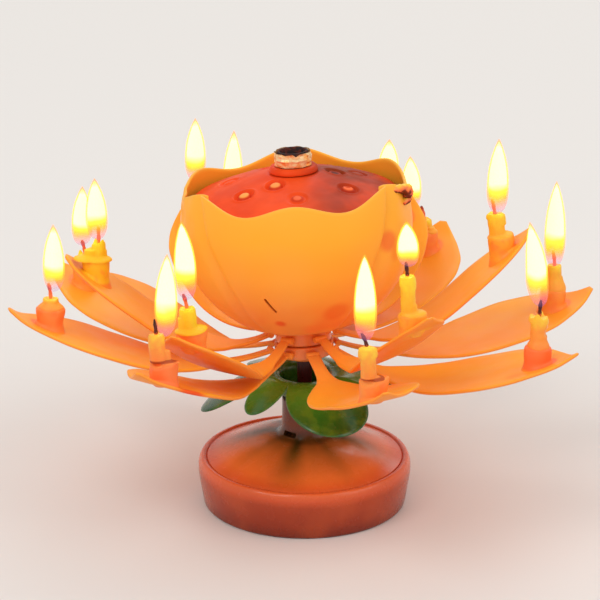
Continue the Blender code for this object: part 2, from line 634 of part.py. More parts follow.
def calyx_point(azimuth, share):
    """Return the radius and height of the calyx's surface at a share of its length."""
    best = 0.0
    reach_share = 1.0
    droop_share = 1.0
    for middle, reach, droop in zip(
            CALYX_LEAF_AZIMUTHS, CALYX_LEAF_REACH_SHARES, CALYX_LEAF_DROOP_SHARES):
        off = abs((azimuth - middle + 180.0) % 360.0 - 180.0)
        weight = max(0.0, math.cos(math.pi / 2 * min(off / CALYX_LEAF_HALF_ANGLE, 1.0)))
        if weight > best:
            best, reach_share, droop_share = weight, reach, droop
    end = CALYX_NOTCH_SHARE + (1.0 - CALYX_NOTCH_SHARE) * math.sqrt(best)
    along = share * end
    floor = CALYX_SEAT + CALYX_THICKNESS
    crest = floor + (CALYX_LIP_HEIGHT - floor) * CALYX_CREST_SHARE
    if along < CALYX_NOTCH_SHARE:
        rise = along / CALYX_NOTCH_SHARE
        radius = CALYX_SEAT_RADIUS + (CALYX_LIP_RADIUS - CALYX_SEAT_RADIUS) * rise ** 2
        return radius, floor + (crest - floor) * rise
    over = (along - CALYX_NOTCH_SHARE) / (1.0 - CALYX_NOTCH_SHARE)
    radius = CALYX_LIP_RADIUS + (CALYX_REACH * reach_share - CALYX_LIP_RADIUS) * over
    bump = (CALYX_LIP_HEIGHT - crest) * math.sin(min(1.0, over / CALYX_BEND_SHARE) * math.pi / 2)
    return radius, crest + bump - CALYX_DROP * droop_share * over ** CALYX_DROOP_CURVE


def make_calyx():
    """Cup of curled green leaves round the top of the neck."""

    def place(row, column):
        azimuth = 360.0 * column / CALYX_COLUMNS
        if row == 0:
            return polar(SHAFT_RADIUS + CALYX_THICKNESS * 2, azimuth, CALYX_SEAT + CALYX_THICKNESS)
        radius, height = calyx_point(azimuth, CALYX_ROW_SHARES[row - 1])
        return polar(radius, azimuth, height)

    leaves = shaped_grid(CALYX_COLUMNS, len(CALYX_ROW_SHARES), place, CALYX_THICKNESS, -1.0, "calyx")
    form = bmesh.new()
    form.from_mesh(leaves.data)
    bmesh.ops.remove_doubles(form, verts=form.verts, dist=MERGE_DISTANCE)
    form.to_mesh(leaves.data)
    form.free()
    leaves.data.materials.append(LEAF_GREEN)
    return settle(leaves)


def make_hubs():
    """Two stacked hubs that carry the petals' hinges."""
    lean = HEAD.location.z
    flange = LOWER_HINGE_RADIUS - KNUCKLE_RADIUS - TOUCH_GAP
    top = LOWER_HINGE_HEIGHT + HUB_FLANGE_MARGIN - lean
    bottom = LOWER_HINGE_HEIGHT - HUB_FLANGE_MARGIN - lean
    stem = HUB_STEM_BOTTOM - lean
    roof = SHAFT_TOP + TOUCH_GAP - lean
    turned("lower_hub", [
        (0.0, top), (flange, top), (flange, bottom), (HUB_STEM_RADIUS, bottom), (HUB_STEM_RADIUS, stem),
        (HUB_BORE_RADIUS, stem), (HUB_BORE_RADIUS, roof), (0.0, roof),
    ], PETAL_PLASTIC, steps=TUBE_STEPS, parent=HEAD)
    flange = UPPER_HINGE_RADIUS - KNUCKLE_RADIUS - TOUCH_GAP
    upper_bottom = top + TOUCH_GAP
    upper_top = CUP_FOOT_HEIGHT - CUP_WALL / 2 - TOUCH_GAP - lean
    turned("upper_hub", [
        (0.0, upper_top), (flange, upper_top), (flange, upper_bottom), (0.0, upper_bottom),
    ], PETAL_PLASTIC, steps=TUBE_STEPS, parent=HEAD)


def make_petal_mesh(name, stations, tip_radius, hinge_radius, width, candle_radius, twist):
    """Return a petal with its hinge knuckle and candle socket, the hinge at the origin."""
    reach = tip_radius - hinge_radius
    seat_share = (candle_radius - hinge_radius) / reach
    roll = math.tan(math.radians(twist))

    def place(row, column):
        along, rise, wide = stations[row]
        side = 2.0 * column / PETAL_COLUMNS - 1.0
        half = width * wide / 2
        full = min(1.0, wide / PETAL_FLAT_SHARE)
        dish = PETAL_DISH_SHARE * half * side * side * full
        return (reach * along, half * side, reach * rise + dish + half * side * roll * full)

    blade = shaped_grid(PETAL_COLUMNS, len(stations) - 1, place, PETAL_THICKNESS, 0.0, name)
    knuckle = round_cutter(name + "_knuckle", KNUCKLE_RADIUS, KNUCKLE_LENGTH,
                           turn=(math.pi / 2, 0.0, 0.0))
    combine(blade, knuckle, "UNION")
    seat_height = reach * height_at(stations, seat_share)
    tall = SOCKET_HEIGHT + SOCKET_ROOT
    socket = round_cutter(name + "_socket", SOCKET_RADIUS, tall,
                          place=(reach * seat_share, 0.0, seat_height - SOCKET_ROOT + tall / 2))
    combine(blade, socket, "UNION")
    deep = SOCKET_HEIGHT - SOCKET_FLOOR + CUT_OVERRUN
    well = round_cutter(name + "_well", CANDLE_RADIUS + TOUCH_GAP, deep,
                        place=(reach * seat_share, 0.0, seat_height + SOCKET_FLOOR + deep / 2))
    combine(blade, well, "DIFFERENCE")
    blade.data.materials.append(PETAL_PLASTIC)
    settle(blade)
    mesh = blade.data
    bpy.data.objects.remove(blade, do_unlink=True)
    for guide in (knuckle, socket, well):
        bpy.data.objects.remove(guide, do_unlink=True)
    return mesh, Vector((reach * seat_share, 0.0, seat_height))


def height_at(stations, along):
    """Return the height share of a petal at a reach share, between its stations."""
    for (start, low, _), (end, high, _) in zip(stations, stations[1:]):
        if start <= along <= end:
            return low + (high - low) * (along - start) / (end - start)
    return stations[-1][1]


def make_tier(tier, petals, form, hinge_height):
    """Place a tier of petals on its hub, each bent in its own way and with its own candle."""
    hinge_radius = form[2]
    for number, (azimuth, droop, twist, left_share) in enumerate(petals, 1):
        mesh, seat = make_petal_mesh(f"{tier}_petal_form_{number}", *form, twist)
        place = Vector(polar(hinge_radius, azimuth, hinge_height - HEAD.location.z))
        petal = add_object(f"{tier}_petal_{number}", mesh, PETAL_PLASTIC, parent=HEAD, place=place,
                           turn=(0.0, -math.radians(droop), outward_turn(azimuth)))
        foot = SOCKET_FLOOR + TOUCH_GAP
        top = CANDLE_LENGTH * left_share
        turned(f"{tier}_candle_{number}", [
            (0.0, top + WICK_LENGTH), (WICK_RADIUS, top + WICK_LENGTH), (WICK_RADIUS, top),
            (CANDLE_RADIUS - CANDLE_BEAD, top), (CANDLE_RADIUS + CANDLE_BEAD, top - CANDLE_BEAD * 4),
            (CANDLE_RADIUS, SOCKET_HEIGHT + CANDLE_BEAD), (CANDLE_RADIUS, foot), (0.0, foot),
        ], WAX, steps=SMALL_STEPS, parent=petal, place=seat)


def seam_azimuth(height_share):
    """Return the azimuth of the seam beside the cup's front petal at a share of its height."""
    for (low, start), (high, end) in zip(CUP_SEAM_STATIONS, CUP_SEAM_STATIONS[1:]):
        if low <= height_share <= high:
            return start + (end - start) * (height_share - low) / (high - low)
    return CUP_SEAM_STATIONS[-1][1]


def make_cup():
    """Three broad upright petals that form the goblet-like cup: one in front and two behind it."""
    foot = CUP_FOOT_HEIGHT - HEAD.location.z
    rows = len(CUP_STATION_SHARES) - 1
    edge_finders = (
        lambda seam: (-seam, seam),
        lambda seam: (seam, 180.0),
        lambda seam: (180.0, 360.0 - seam),
    )
    for number, find_edges in enumerate(edge_finders, 1):

        def place(row, column):
            radius_share, height_share = CUP_STATION_SHARES[row]
            radius = CUP_RADIUS * radius_share
            gap = math.degrees(CUP_SEAM_GAP / radius)
            start, end = find_edges(seam_azimuth(height_share))
            middle = (start + end) / 2
            side = 2.0 * column / CUP_COLUMNS - 1.0
            wave = -CUP_DIP * math.sin(abs(side) * math.pi) ** 2 + CUP_CORNER_RISE * side * side
            height = foot + CUP_HEIGHT * height_share + wave * height_share ** 3
            return polar(radius, middle + side * ((end - start) / 2 - gap), height)

        petal = shaped_grid(CUP_COLUMNS, rows, place, CUP_WALL, 0.0, f"cup_petal_{number}")
        petal.data.materials.append(PETAL_PLASTIC)
        petal.parent = HEAD
        if number == 1:
            height = foot + CUP_HEIGHT * CUP_SLIT_HEIGHT_SHARE
            slit = box_cutter("cup_slit", CUP_SLIT, parent=HEAD,
                              place=polar(CUP_RADIUS * CUP_SLIT_RADIUS_SHARE, CUP_SLIT_AZIMUTH, height),
                              turn=(0.0, math.radians(CUP_SLIT_LEAN), math.radians(CUP_SLIT_AZIMUTH)))
            combine(petal, slit, "DIFFERENCE")
        settle(petal)


def make_seed_head():
    """Red seed head with its pits and stem, carrying the sparkler tube."""
    lean = HEAD.location.z
    reach = SEED_RADIUS - SEED_TOP_RADIUS
    dome = [
        (SEED_TOP_RADIUS + reach * share, SEED_EDGE_HEIGHT + SEED_RISE * (1.0 - share) ** SEED_CURVE - lean)
        for share in SEED_STATION_SHARES
    ]
    edge = SEED_EDGE_HEIGHT - lean
    under = edge - SEED_SKIN
    stem_foot = CUP_FOOT_HEIGHT - CUP_WALL / 2 - lean
    bore = TUBE_RADIUS + TOUCH_GAP
    stem = bore + SEED_SKIN / 2
    floor = SEED_TOP_HEIGHT - TUBE_SEAT_DEPTH - lean
    head = turned("seed_head", [
        (0.0, floor), (bore, floor), (bore, dome[0][1]), *dome,
        (SEED_RADIUS, edge - SEED_SKIN / 3), (SEED_RADIUS - SEED_SKIN / 3, under),
        (stem + SEED_SKIN, under), (stem, under - SEED_SKIN), (SEED_STEM_RADIUS, floor - SEED_SKIN * 2),
        (SEED_STEM_RADIUS, stem_foot), (0.0, stem_foot),
    ], SEED_PLASTIC, parent=HEAD)
    for share, count, first in SEED_PIT_RINGS:
        height = SEED_EDGE_HEIGHT + SEED_RISE * (1.0 - share) ** SEED_CURVE - lean
        slope = math.atan2(SEED_RISE * SEED_CURVE * (1.0 - share) ** (SEED_CURVE - 1.0), reach)
        depth = SEED_PIT_DEPTH + CUT_OVERRUN
        rise = (CUT_OVERRUN - SEED_PIT_DEPTH) / 2
        for number in range(count):
            azimuth = first + 360.0 * number / count
            radius = SEED_TOP_RADIUS + reach * share + rise * math.sin(slope)
            pit = round_cutter("seed_pit", SEED_PIT_RADIUS, depth, parent=HEAD,
                               place=polar(radius, azimuth, height + rise * math.cos(slope)),
                               turn=(0.0, slope, outward_turn(azimuth)))
            combine(head, pit, "DIFFERENCE")
    settle(head)


def make_sparkler():
    """Collar, paper tube, its burnt charge and the crinkled foil round it."""
    lean = HEAD.location.z
    base = SEED_TOP_HEIGHT + TOUCH_GAP - lean
    hole = TUBE_RADIUS + TOUCH_GAP
    turned("tube_collar", [
        (hole, base + COLLAR_HEIGHT), (COLLAR_RADIUS - FOIL_TOOTH / 2, base + COLLAR_HEIGHT),
        (COLLAR_RADIUS, base + COLLAR_HEIGHT / 2), (COLLAR_RADIUS - FOIL_TOOTH / 2, base), (hole, base),
    ], SEED_PLASTIC, closed=True, steps=TUBE_STEPS, parent=HEAD)
    bottom = SEED_TOP_HEIGHT - TUBE_SEAT_DEPTH + TOUCH_GAP - lean
    inner = TUBE_RADIUS - TUBE_WALL
    turned("sparkler_tube", [
        (inner, TUBE_TOP - lean), (TUBE_RADIUS, TUBE_TOP - lean), (TUBE_RADIUS, bottom), (inner, bottom),
    ], PAPER, closed=True, steps=TUBE_STEPS, parent=HEAD)
    turned("sparkler_charge", [
        (0.0, bottom + CHARGE_HEIGHT), (inner - TOUCH_GAP, bottom + CHARGE_HEIGHT),
        (inner - TOUCH_GAP, bottom), (0.0, bottom),
    ], BURNT, steps=SMALL_STEPS, parent=HEAD)
    low = base + COLLAR_HEIGHT + TOUCH_GAP

    def place(row, column):
        azimuth = 360.0 * column / FOIL_COLUMNS
        fold = FOIL_THICKNESS * (1.0 + math.sin(column * FOIL_FOLD_STEP)) * FOIL_FOLD_SHARE
        radius = hole + FOIL_THICKNESS + fold
        up = row / FOIL_ROWS
        ragged = FOIL_TOOTH * (1.0 + math.sin(column * FOIL_RAGGED_STEP)) / 2 * up
        return polar(radius, azimuth, low + (FOIL_TOP - lean - low) * up - ragged)

    foil = shaped_grid(FOIL_COLUMNS, FOIL_ROWS, place, FOIL_THICKNESS, 1.0, "foil_wrap")
    form = bmesh.new()
    form.from_mesh(foil.data)
    bmesh.ops.remove_doubles(form, verts=form.verts, dist=MERGE_DISTANCE)
    form.to_mesh(foil.data)
    form.free()
    foil.data.materials.append(FOIL)
    foil.parent = HEAD
    return settle(foil)


clear_scene()
PARTS = make_collection("musical_birthday_candle")
CUTTERS = make_collection("cutters")

PETAL_PLASTIC = make_material("petal_plastic", (1.0, 0.37, 0.06), 0.35)
SHELL_PLASTIC = make_material("shell_plastic", (0.60, 0.12, 0.06), 0.22)
DARK_PLASTIC = make_material("dark_plastic", (0.10, 0.03, 0.02), 0.45)
LEAF_GREEN = make_material("leaf_green", (0.04, 0.16, 0.02), 0.25)
SEED_PLASTIC = make_material("seed_plastic", (0.72, 0.08, 0.02), 0.35)
SHAFT_PLASTIC = make_material("shaft_plastic", (0.06, 0.005, 0.005), 0.4)
WHITE_PLASTIC = make_material("white_plastic", (0.75, 0.74, 0.70), 0.45)
WAX = make_material("wax", (0.95, 0.55, 0.05), 0.45)
BRASS = make_material("brass", (0.70, 0.47, 0.18), 0.35, 1.0)
STEEL = make_material("steel", (0.55, 0.55, 0.56), 0.35, 1.0)
FOIL = make_material("foil", (0.75, 0.62, 0.35), 0.30, 1.0)
PAPER = make_material("paper", (0.35, 0.22, 0.12), 0.8)
BURNT = make_material("burnt", (0.02, 0.015, 0.012), 0.9)
BOARD_GREEN = make_material("board_green", (0.03, 0.18, 0.06), 0.5)

HEAD = bpy.data.objects.new("flower_head_frame", None)
PARTS.objects.link(HEAD)
HEAD.location = (0.0, 0.0, LEAN_PIVOT_HEIGHT)
HEAD.rotation_euler = Euler((math.radians(LEAN_BACK), math.radians(LEAN_LEFT), 0.0))

make_housing()
make_cover()
make_works()
make_calyx()
make_hubs()
lower_form = (LOWER_STATION_SHARES, LOWER_TIP_RADIUS, LOWER_HINGE_RADIUS, LOWER_WIDTH, LOWER_CANDLE_RADIUS)
lower = tuple(zip(LOWER_AZIMUTHS, LOWER_DROOP_ANGLES, LOWER_TWIST_ANGLES, LOWER_LEFT_SHARES))
make_tier("lower", lower, lower_form, LOWER_HINGE_HEIGHT)
upper_form = (UPPER_STATION_SHARES, UPPER_TIP_RADIUS, UPPER_HINGE_RADIUS, UPPER_WIDTH, UPPER_CANDLE_RADIUS)
upper = tuple(zip(UPPER_AZIMUTHS, UPPER_DROOP_ANGLES, UPPER_TWIST_ANGLES, UPPER_LEFT_SHARES))
make_tier("upper", upper, upper_form, UPPER_HINGE_HEIGHT)
make_cup()
make_seed_head()
make_sparkler()
bpy.context.view_layer.update()
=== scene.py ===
"""Visual model of a musical birthday candle: an opened lotus with fourteen candles on a music base.

Lengths are metres, angles are degrees. Azimuths run from the front (-Y) round towards +X.
"""
import logging
import math
from dataclasses import dataclass, field
from enum import Enum
from typing import Callable, Sequence

import bmesh
import bpy
from mathutils import Euler, Matrix, Vector, noise


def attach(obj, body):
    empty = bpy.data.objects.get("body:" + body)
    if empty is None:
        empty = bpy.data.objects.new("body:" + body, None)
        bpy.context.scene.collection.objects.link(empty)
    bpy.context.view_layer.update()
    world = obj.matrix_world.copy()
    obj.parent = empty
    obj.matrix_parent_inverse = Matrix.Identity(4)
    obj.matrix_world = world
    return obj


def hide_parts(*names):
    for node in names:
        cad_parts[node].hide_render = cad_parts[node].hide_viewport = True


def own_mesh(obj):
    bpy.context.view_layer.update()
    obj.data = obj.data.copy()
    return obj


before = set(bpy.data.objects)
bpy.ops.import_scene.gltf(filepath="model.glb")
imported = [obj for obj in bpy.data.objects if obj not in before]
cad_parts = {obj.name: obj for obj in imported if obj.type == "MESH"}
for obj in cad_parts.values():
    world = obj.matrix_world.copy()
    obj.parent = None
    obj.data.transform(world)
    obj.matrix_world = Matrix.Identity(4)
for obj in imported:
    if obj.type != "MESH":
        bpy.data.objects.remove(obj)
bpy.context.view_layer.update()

LOG = logging.getLogger("birthday_candle")

Colour = tuple[float, float, float]
Profile = Sequence[tuple[float, float, float]]
Stations = Sequence[tuple[float, float, float]]


class Tier(Enum):
    """The two rings of hinged petals."""

    LOWER = "lower"
    UPPER = "upper"


class Cap(Enum):
    """How the top of a burning candle has melted."""

    POOL = "pool"
    JAGGED = "jagged"
    BLOB = "blob"


class Slot(Enum):
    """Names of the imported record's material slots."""

    PETAL = "petal_plastic"
    SHELL = "shell_plastic"
    LEAF = "leaf_green"
    SEED = "seed_plastic"
    WAX = "wax"
    FOIL = "foil"
    PAPER = "paper"
    BURNT = "burnt"


def srgb(red: int, green: int, blue: int) -> Colour:
    """Return the linear colour of an 8-bit display colour."""

    def linear(value: int) -> float:
        share = value / 255.0
        return share / 12.92 if share <= 0.04045 else ((share + 0.055) / 1.055) ** 2.4

    return linear(red), linear(green), linear(blue)


def between(first: Colour, second: Colour, share: float) -> Colour:
    """Return the mix of two colours."""
    return tuple(a + (b - a) * share for a, b in zip(first, second))


def ease(value: float) -> float:
    """Return a share from 0 to 1 with soft ends."""
    value = min(1.0, max(0.0, value))
    return value * value * (3.0 - 2.0 * value)


def polar(radius: float, azimuth: float, height: float) -> Vector:
    """Return the point at a radius, azimuth and height."""
    angle = math.radians(azimuth)
    return Vector((radius * math.sin(angle), -radius * math.cos(angle), height))


def turned(x: float, y: float, z: float) -> Matrix:
    """Return the turn about the X, then the Y, then the Z axis by angles in degrees."""
    return Euler((math.radians(x), math.radians(y), math.radians(z))).to_matrix().to_4x4()


def azimuth_gap(first: float, second: float) -> float:
    """Return the angle between two azimuths, from 0 to 180."""
    return abs((first - second + 180.0) % 360.0 - 180.0)


class SmoothLine:
    """A curve through stations that never swings past them."""

    def __init__(self, places: Sequence[float], values: Sequence[float]) -> None:
        """Keep the stations and find a slope for each of them."""
        self.places = list(places)
        self.values = list(values)
        steps = [
            (b - a) / (q - p)
            for p, q, a, b in zip(self.places, self.places[1:], self.values, self.values[1:])
        ]
        self.slopes = [steps[0]]
        for before, after in zip(steps, steps[1:]):
            level = before * after
            self.slopes.append(2.0 * level / (before + after) if level > 0.0 else 0.0)
        self.slopes.append(steps[-1])

    def at(self, place: float) -> float:
        """Return the curve's value at a place."""
        place = min(max(place, self.places[0]), self.places[-1])
        index = 0
        while index < len(self.places) - 2 and place > self.places[index + 1]:
            index += 1
        width = self.places[index + 1] - self.places[index]
        share = (place - self.places[index]) / width
        start, end = self.values[index], self.values[index + 1]
        rise = end - start
        first, last = self.slopes[index] * width, self.slopes[index + 1] * width
        return (
            start + share * first
            + share * share * (3.0 * rise - 2.0 * first - last)
            + share ** 3 * (first + last - 2.0 * rise)
        )


# Mesh making


def new_mesh(name: str, form: bmesh.types.BMesh, sharp: float = 40.0) -> bpy.types.Mesh:
    """Turn a bmesh into a smooth-shaded mesh and free it.

    Args:
        name: the mesh's name.
        form: the geometry.
        sharp: edges that bend by more than this angle stay crisp.

    Returns:
        The new mesh.
    """
    bmesh.ops.remove_doubles(form, verts=form.verts, dist=1e-6)
    bmesh.ops.recalc_face_normals(form, faces=form.faces)
    mesh = bpy.data.meshes.new(name)
    form.to_mesh(mesh)
    form.free()
    mesh.shade_smooth()
    mesh.set_sharp_from_angle(angle=math.radians(sharp))
    return mesh


def rounded(profile: Profile, steps: int = 4) -> list[tuple[float, float]]:
    """Round the corners of a profile.

    Args:
        profile: points of radius, height and corner rounding.
        steps: segments of each rounded corner.

    Returns:
        The rounded profile as points of radius and height.
    """
    line: list[tuple[float, float]] = []
    for index, (radius, height, curve) in enumerate(profile):
        here = Vector((radius, height))
        if curve <= 0.0 or index in (0, len(profile) - 1):
            line.append((radius, height))
            continue
        before = Vector(profile[index - 1][:2])
        after = Vector(profile[index + 1][:2])
        start = here + (before - here).normalized() * min(curve, (before - here).length / 2)
        end = here + (after - here).normalized() * min(curve, (after - here).length / 2)
        for step in range(steps + 1):
            share = step / steps
            point = start * (1 - share) ** 2 + here * 2 * share * (1 - share) + end * share ** 2
            line.append((point.x, point.y))
    return line


def add_lathe(
    form: bmesh.types.BMesh,
    line: Sequence[tuple[float, float]],
    steps: int = 96,
    closed: bool = False,
    move: Matrix | None = None,
    shift: Callable[[float, float, float], tuple[float, float]] | None = None,
) -> None:
    """Add a turned form to a bmesh.

    Args:
        form: the bmesh that receives it.
        line: profile as points of radius and height.
        steps: segments round the axis.
        closed: whether the profile's end joins its start.
        move: placing of the finished form.
        shift: gives a new radius and height for an azimuth, radius and height.
    """
    place = move or Matrix.Identity(4)
    rings = []
    for radius, height in line:
        if radius < 1e-7:
            rings.append([form.verts.new(place @ Vector((0.0, 0.0, height)))])
            continue
        ring = []
        for step in range(steps):
            azimuth = 360.0 * step / steps
            r, h = shift(azimuth, radius, height) if shift else (radius, height)
            ring.append(form.verts.new(place @ polar(r, azimuth, h)))
        rings.append(ring)
    bridge(form, rings + [rings[0]] if closed else rings, steps)


def bridge(form: bmesh.types.BMesh, rings: Sequence[Sequence[bmesh.types.BMVert]], steps: int) -> None:
    """Join each ring of points to the next; a ring may be a single point."""
    for low, high in zip(rings, rings[1:]):
        for step in range(steps):
            corners = []
            for ring, index in ((low, step), (low, step + 1), (high, step + 1), (high, step)):
                vert = ring[index % len(ring)]
                if vert not in corners:
                    corners.append(vert)
            if len(corners) > 2:
                form.faces.new(corners)


def add_sheet(
    form: bmesh.types.BMesh,
    grid: Sequence[Sequence[Vector]],
    thickness: float,
    wrap: bool = False,
    open_start: bool = False,
) -> None:
    """Add a sheet with rounded edges to a bmesh.

    Args:
        form: the bmesh that receives it.
        grid: points of the sheet's middle surface, by row and column.
        thickness: full thickness of the sheet.
        wrap: whether the last column joins the first.
        open_start: whether the first row keeps its full thickness.
    """
    rows, columns = len(grid), len(grid[0])

    def edge_share(index: int, count: int) -> float:
        return (0.0, 0.62, 1.0)[min(index, count - 1 - index, 2)]

    def normal(row: int, column: int) -> Vector:
        left = (column - 1) % columns if wrap else max(column - 1, 0)
        right = (column + 1) % columns if wrap else min(column + 1, columns - 1)
        along = grid[min(row + 1, rows - 1)][column] - grid[max(row - 1, 0)][column]
        across = grid[row][right] - grid[row][left]
        return along.cross(across).normalized()

    upper, lower = [], []
    for row in range(rows):
        top_row, low_row = [], []
        for column in range(columns):
            share = 1.0 if wrap else edge_share(column, columns)
            row_share = edge_share(row, rows)
            if open_start and row < 2:
                row_share = 1.0
            share = min(share, row_share)
            point = grid[row][column]
            if share == 0.0:
                vert = form.verts.new(point)
                top_row.append(vert)
                low_row.append(vert)
                continue
            offset = normal(row, column) * (thickness / 2 * share)
            top_row.append(form.verts.new(point + offset))
            low_row.append(form.verts.new(point - offset))
        upper.append(top_row)
        lower.append(low_row)
    spans = columns if wrap else columns - 1
    for layer in (upper, lower):
        for row in range(rows - 1):
            for column in range(spans):
                after = (column + 1) % columns
                form.faces.new([layer[row][column], layer[row][after],
                                layer[row + 1][after], layer[row + 1][column]])
    if open_start:
        for column in range(spans):
            after = (column + 1) % columns
            corners = [upper[0][column], upper[0][after], lower[0][after], lower[0][column]]
            if len(set(corners)) > 3:
                form.faces.new(corners)


def add_tube(form: bmesh.types.BMesh, path: Sequence[Vector], radii: Sequence[float],
             steps: int = 10) -> None:
    """Add a tube along a path, closed at both ends, to a bmesh.

    Args:
        form: the bmesh that receives it.
        path: points of its middle line.
        radii: its radius at each point.
        steps: segments round it.
    """
    rings = []
    side = Vector((1.0, 0.0, 0.0))
    for index, (point, radius) in enumerate(zip(path, radii)):
        ahead = (path[min(index + 1, len(path) - 1)] - path[max(index - 1, 0)]).normalized()
        side = (side - ahead * side.dot(ahead)).normalized()
        other = ahead.cross(side)
        rings.append([
            form.verts.new(point + (side * math.cos(turn) + other * math.sin(turn)) * radius)
            for turn in (2 * math.pi * step / steps for step in range(steps))
        ])
    for low, high in zip(rings, rings[1:]):
        for step in range(steps):
            after = (step + 1) % steps
            form.faces.new([low[step], low[after], high[after], high[step]])
    form.faces.new(rings[0])
    form.faces.new(rings[-1])


def spaced(start: float, end: float, edge: float, count: int) -> list[float]:
    """Return places from start to end, with two extra ones close to each end for a rounded edge."""
    edge = min(edge, (end - start) / 4)
    inner = [start + edge + (end - start - 2 * edge) * step / count for step in range(count + 1)]
    return [start, start + edge * 0.22, *inner, end - edge * 0.22, end]


def place_object(name: str, mesh: bpy.types.Mesh, finish: "Finish",
                 matrix: Matrix | None = None) -> bpy.types.Object:
    """Link a mesh into the scene with its finish.

    Args:
        name: the object's name.
        mesh: its mesh.
        finish: its finish.
        matrix: its placing in the row frame.

    Returns:
        The new object.
    """
    piece = bpy.data.objects.new(name, mesh)
    bpy.context.scene.collection.objects.link(piece)
    piece.matrix_world = matrix or Matrix.Identity(4)
    mesh.materials.clear()
    mesh.materials.append(finish.material())
    LOG.info("%s: %d faces, %s", name, len(mesh.polygons), finish.name)
    return piece


def stand_in(piece: bpy.types.Object, body: str, node: str = "") -> None:
    """Let a piece ride on a body and stand for its CAD node.

    Args:
        piece: the dressed piece.
        body: the body that carries it.
        node: the CAD node that it stands for, if there is one.
    """
    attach(piece, body)
    if node:
        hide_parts(node)


def cut_box(piece: bpy.types.Object, size: Colour, matrix: Matrix) -> None:
    """Cut a box with softened edges out of a piece.

    Args:
        piece: the object that is cut.
        size: the box's three sizes.
        matrix: the box's placing in the row frame.
    """
    form = bmesh.new()
    bmesh.ops.create_cube(form, size=1.0)
    bmesh.ops.scale(form, vec=size, verts=form.verts)
    bmesh.ops.bevel(form, geom=form.edges, offset=0.0002, segments=2, affect="EDGES")
    mesh = bpy.data.meshes.new("box_cutter")
    form.to_mesh(mesh)
    form.free()
    mesh.transform(matrix)
    cutter = bpy.data.objects.new("box_cutter", mesh)
    bpy.context.scene.collection.objects.link(cutter)
    cut = piece.modifiers.new("cut", "BOOLEAN")
    cut.operation = "DIFFERENCE"
    cut.solver = "EXACT"
    cut.object = cutter
    bpy.context.view_layer.update()
    seen = piece.evaluated_get(bpy.context.evaluated_depsgraph_get())
    piece.data = bpy.data.meshes.new_from_object(seen)
    piece.modifiers.clear()
    piece.data.set_sharp_from_angle(angle=math.radians(40.0))
    bpy.data.objects.remove(cutter)


# Finishes


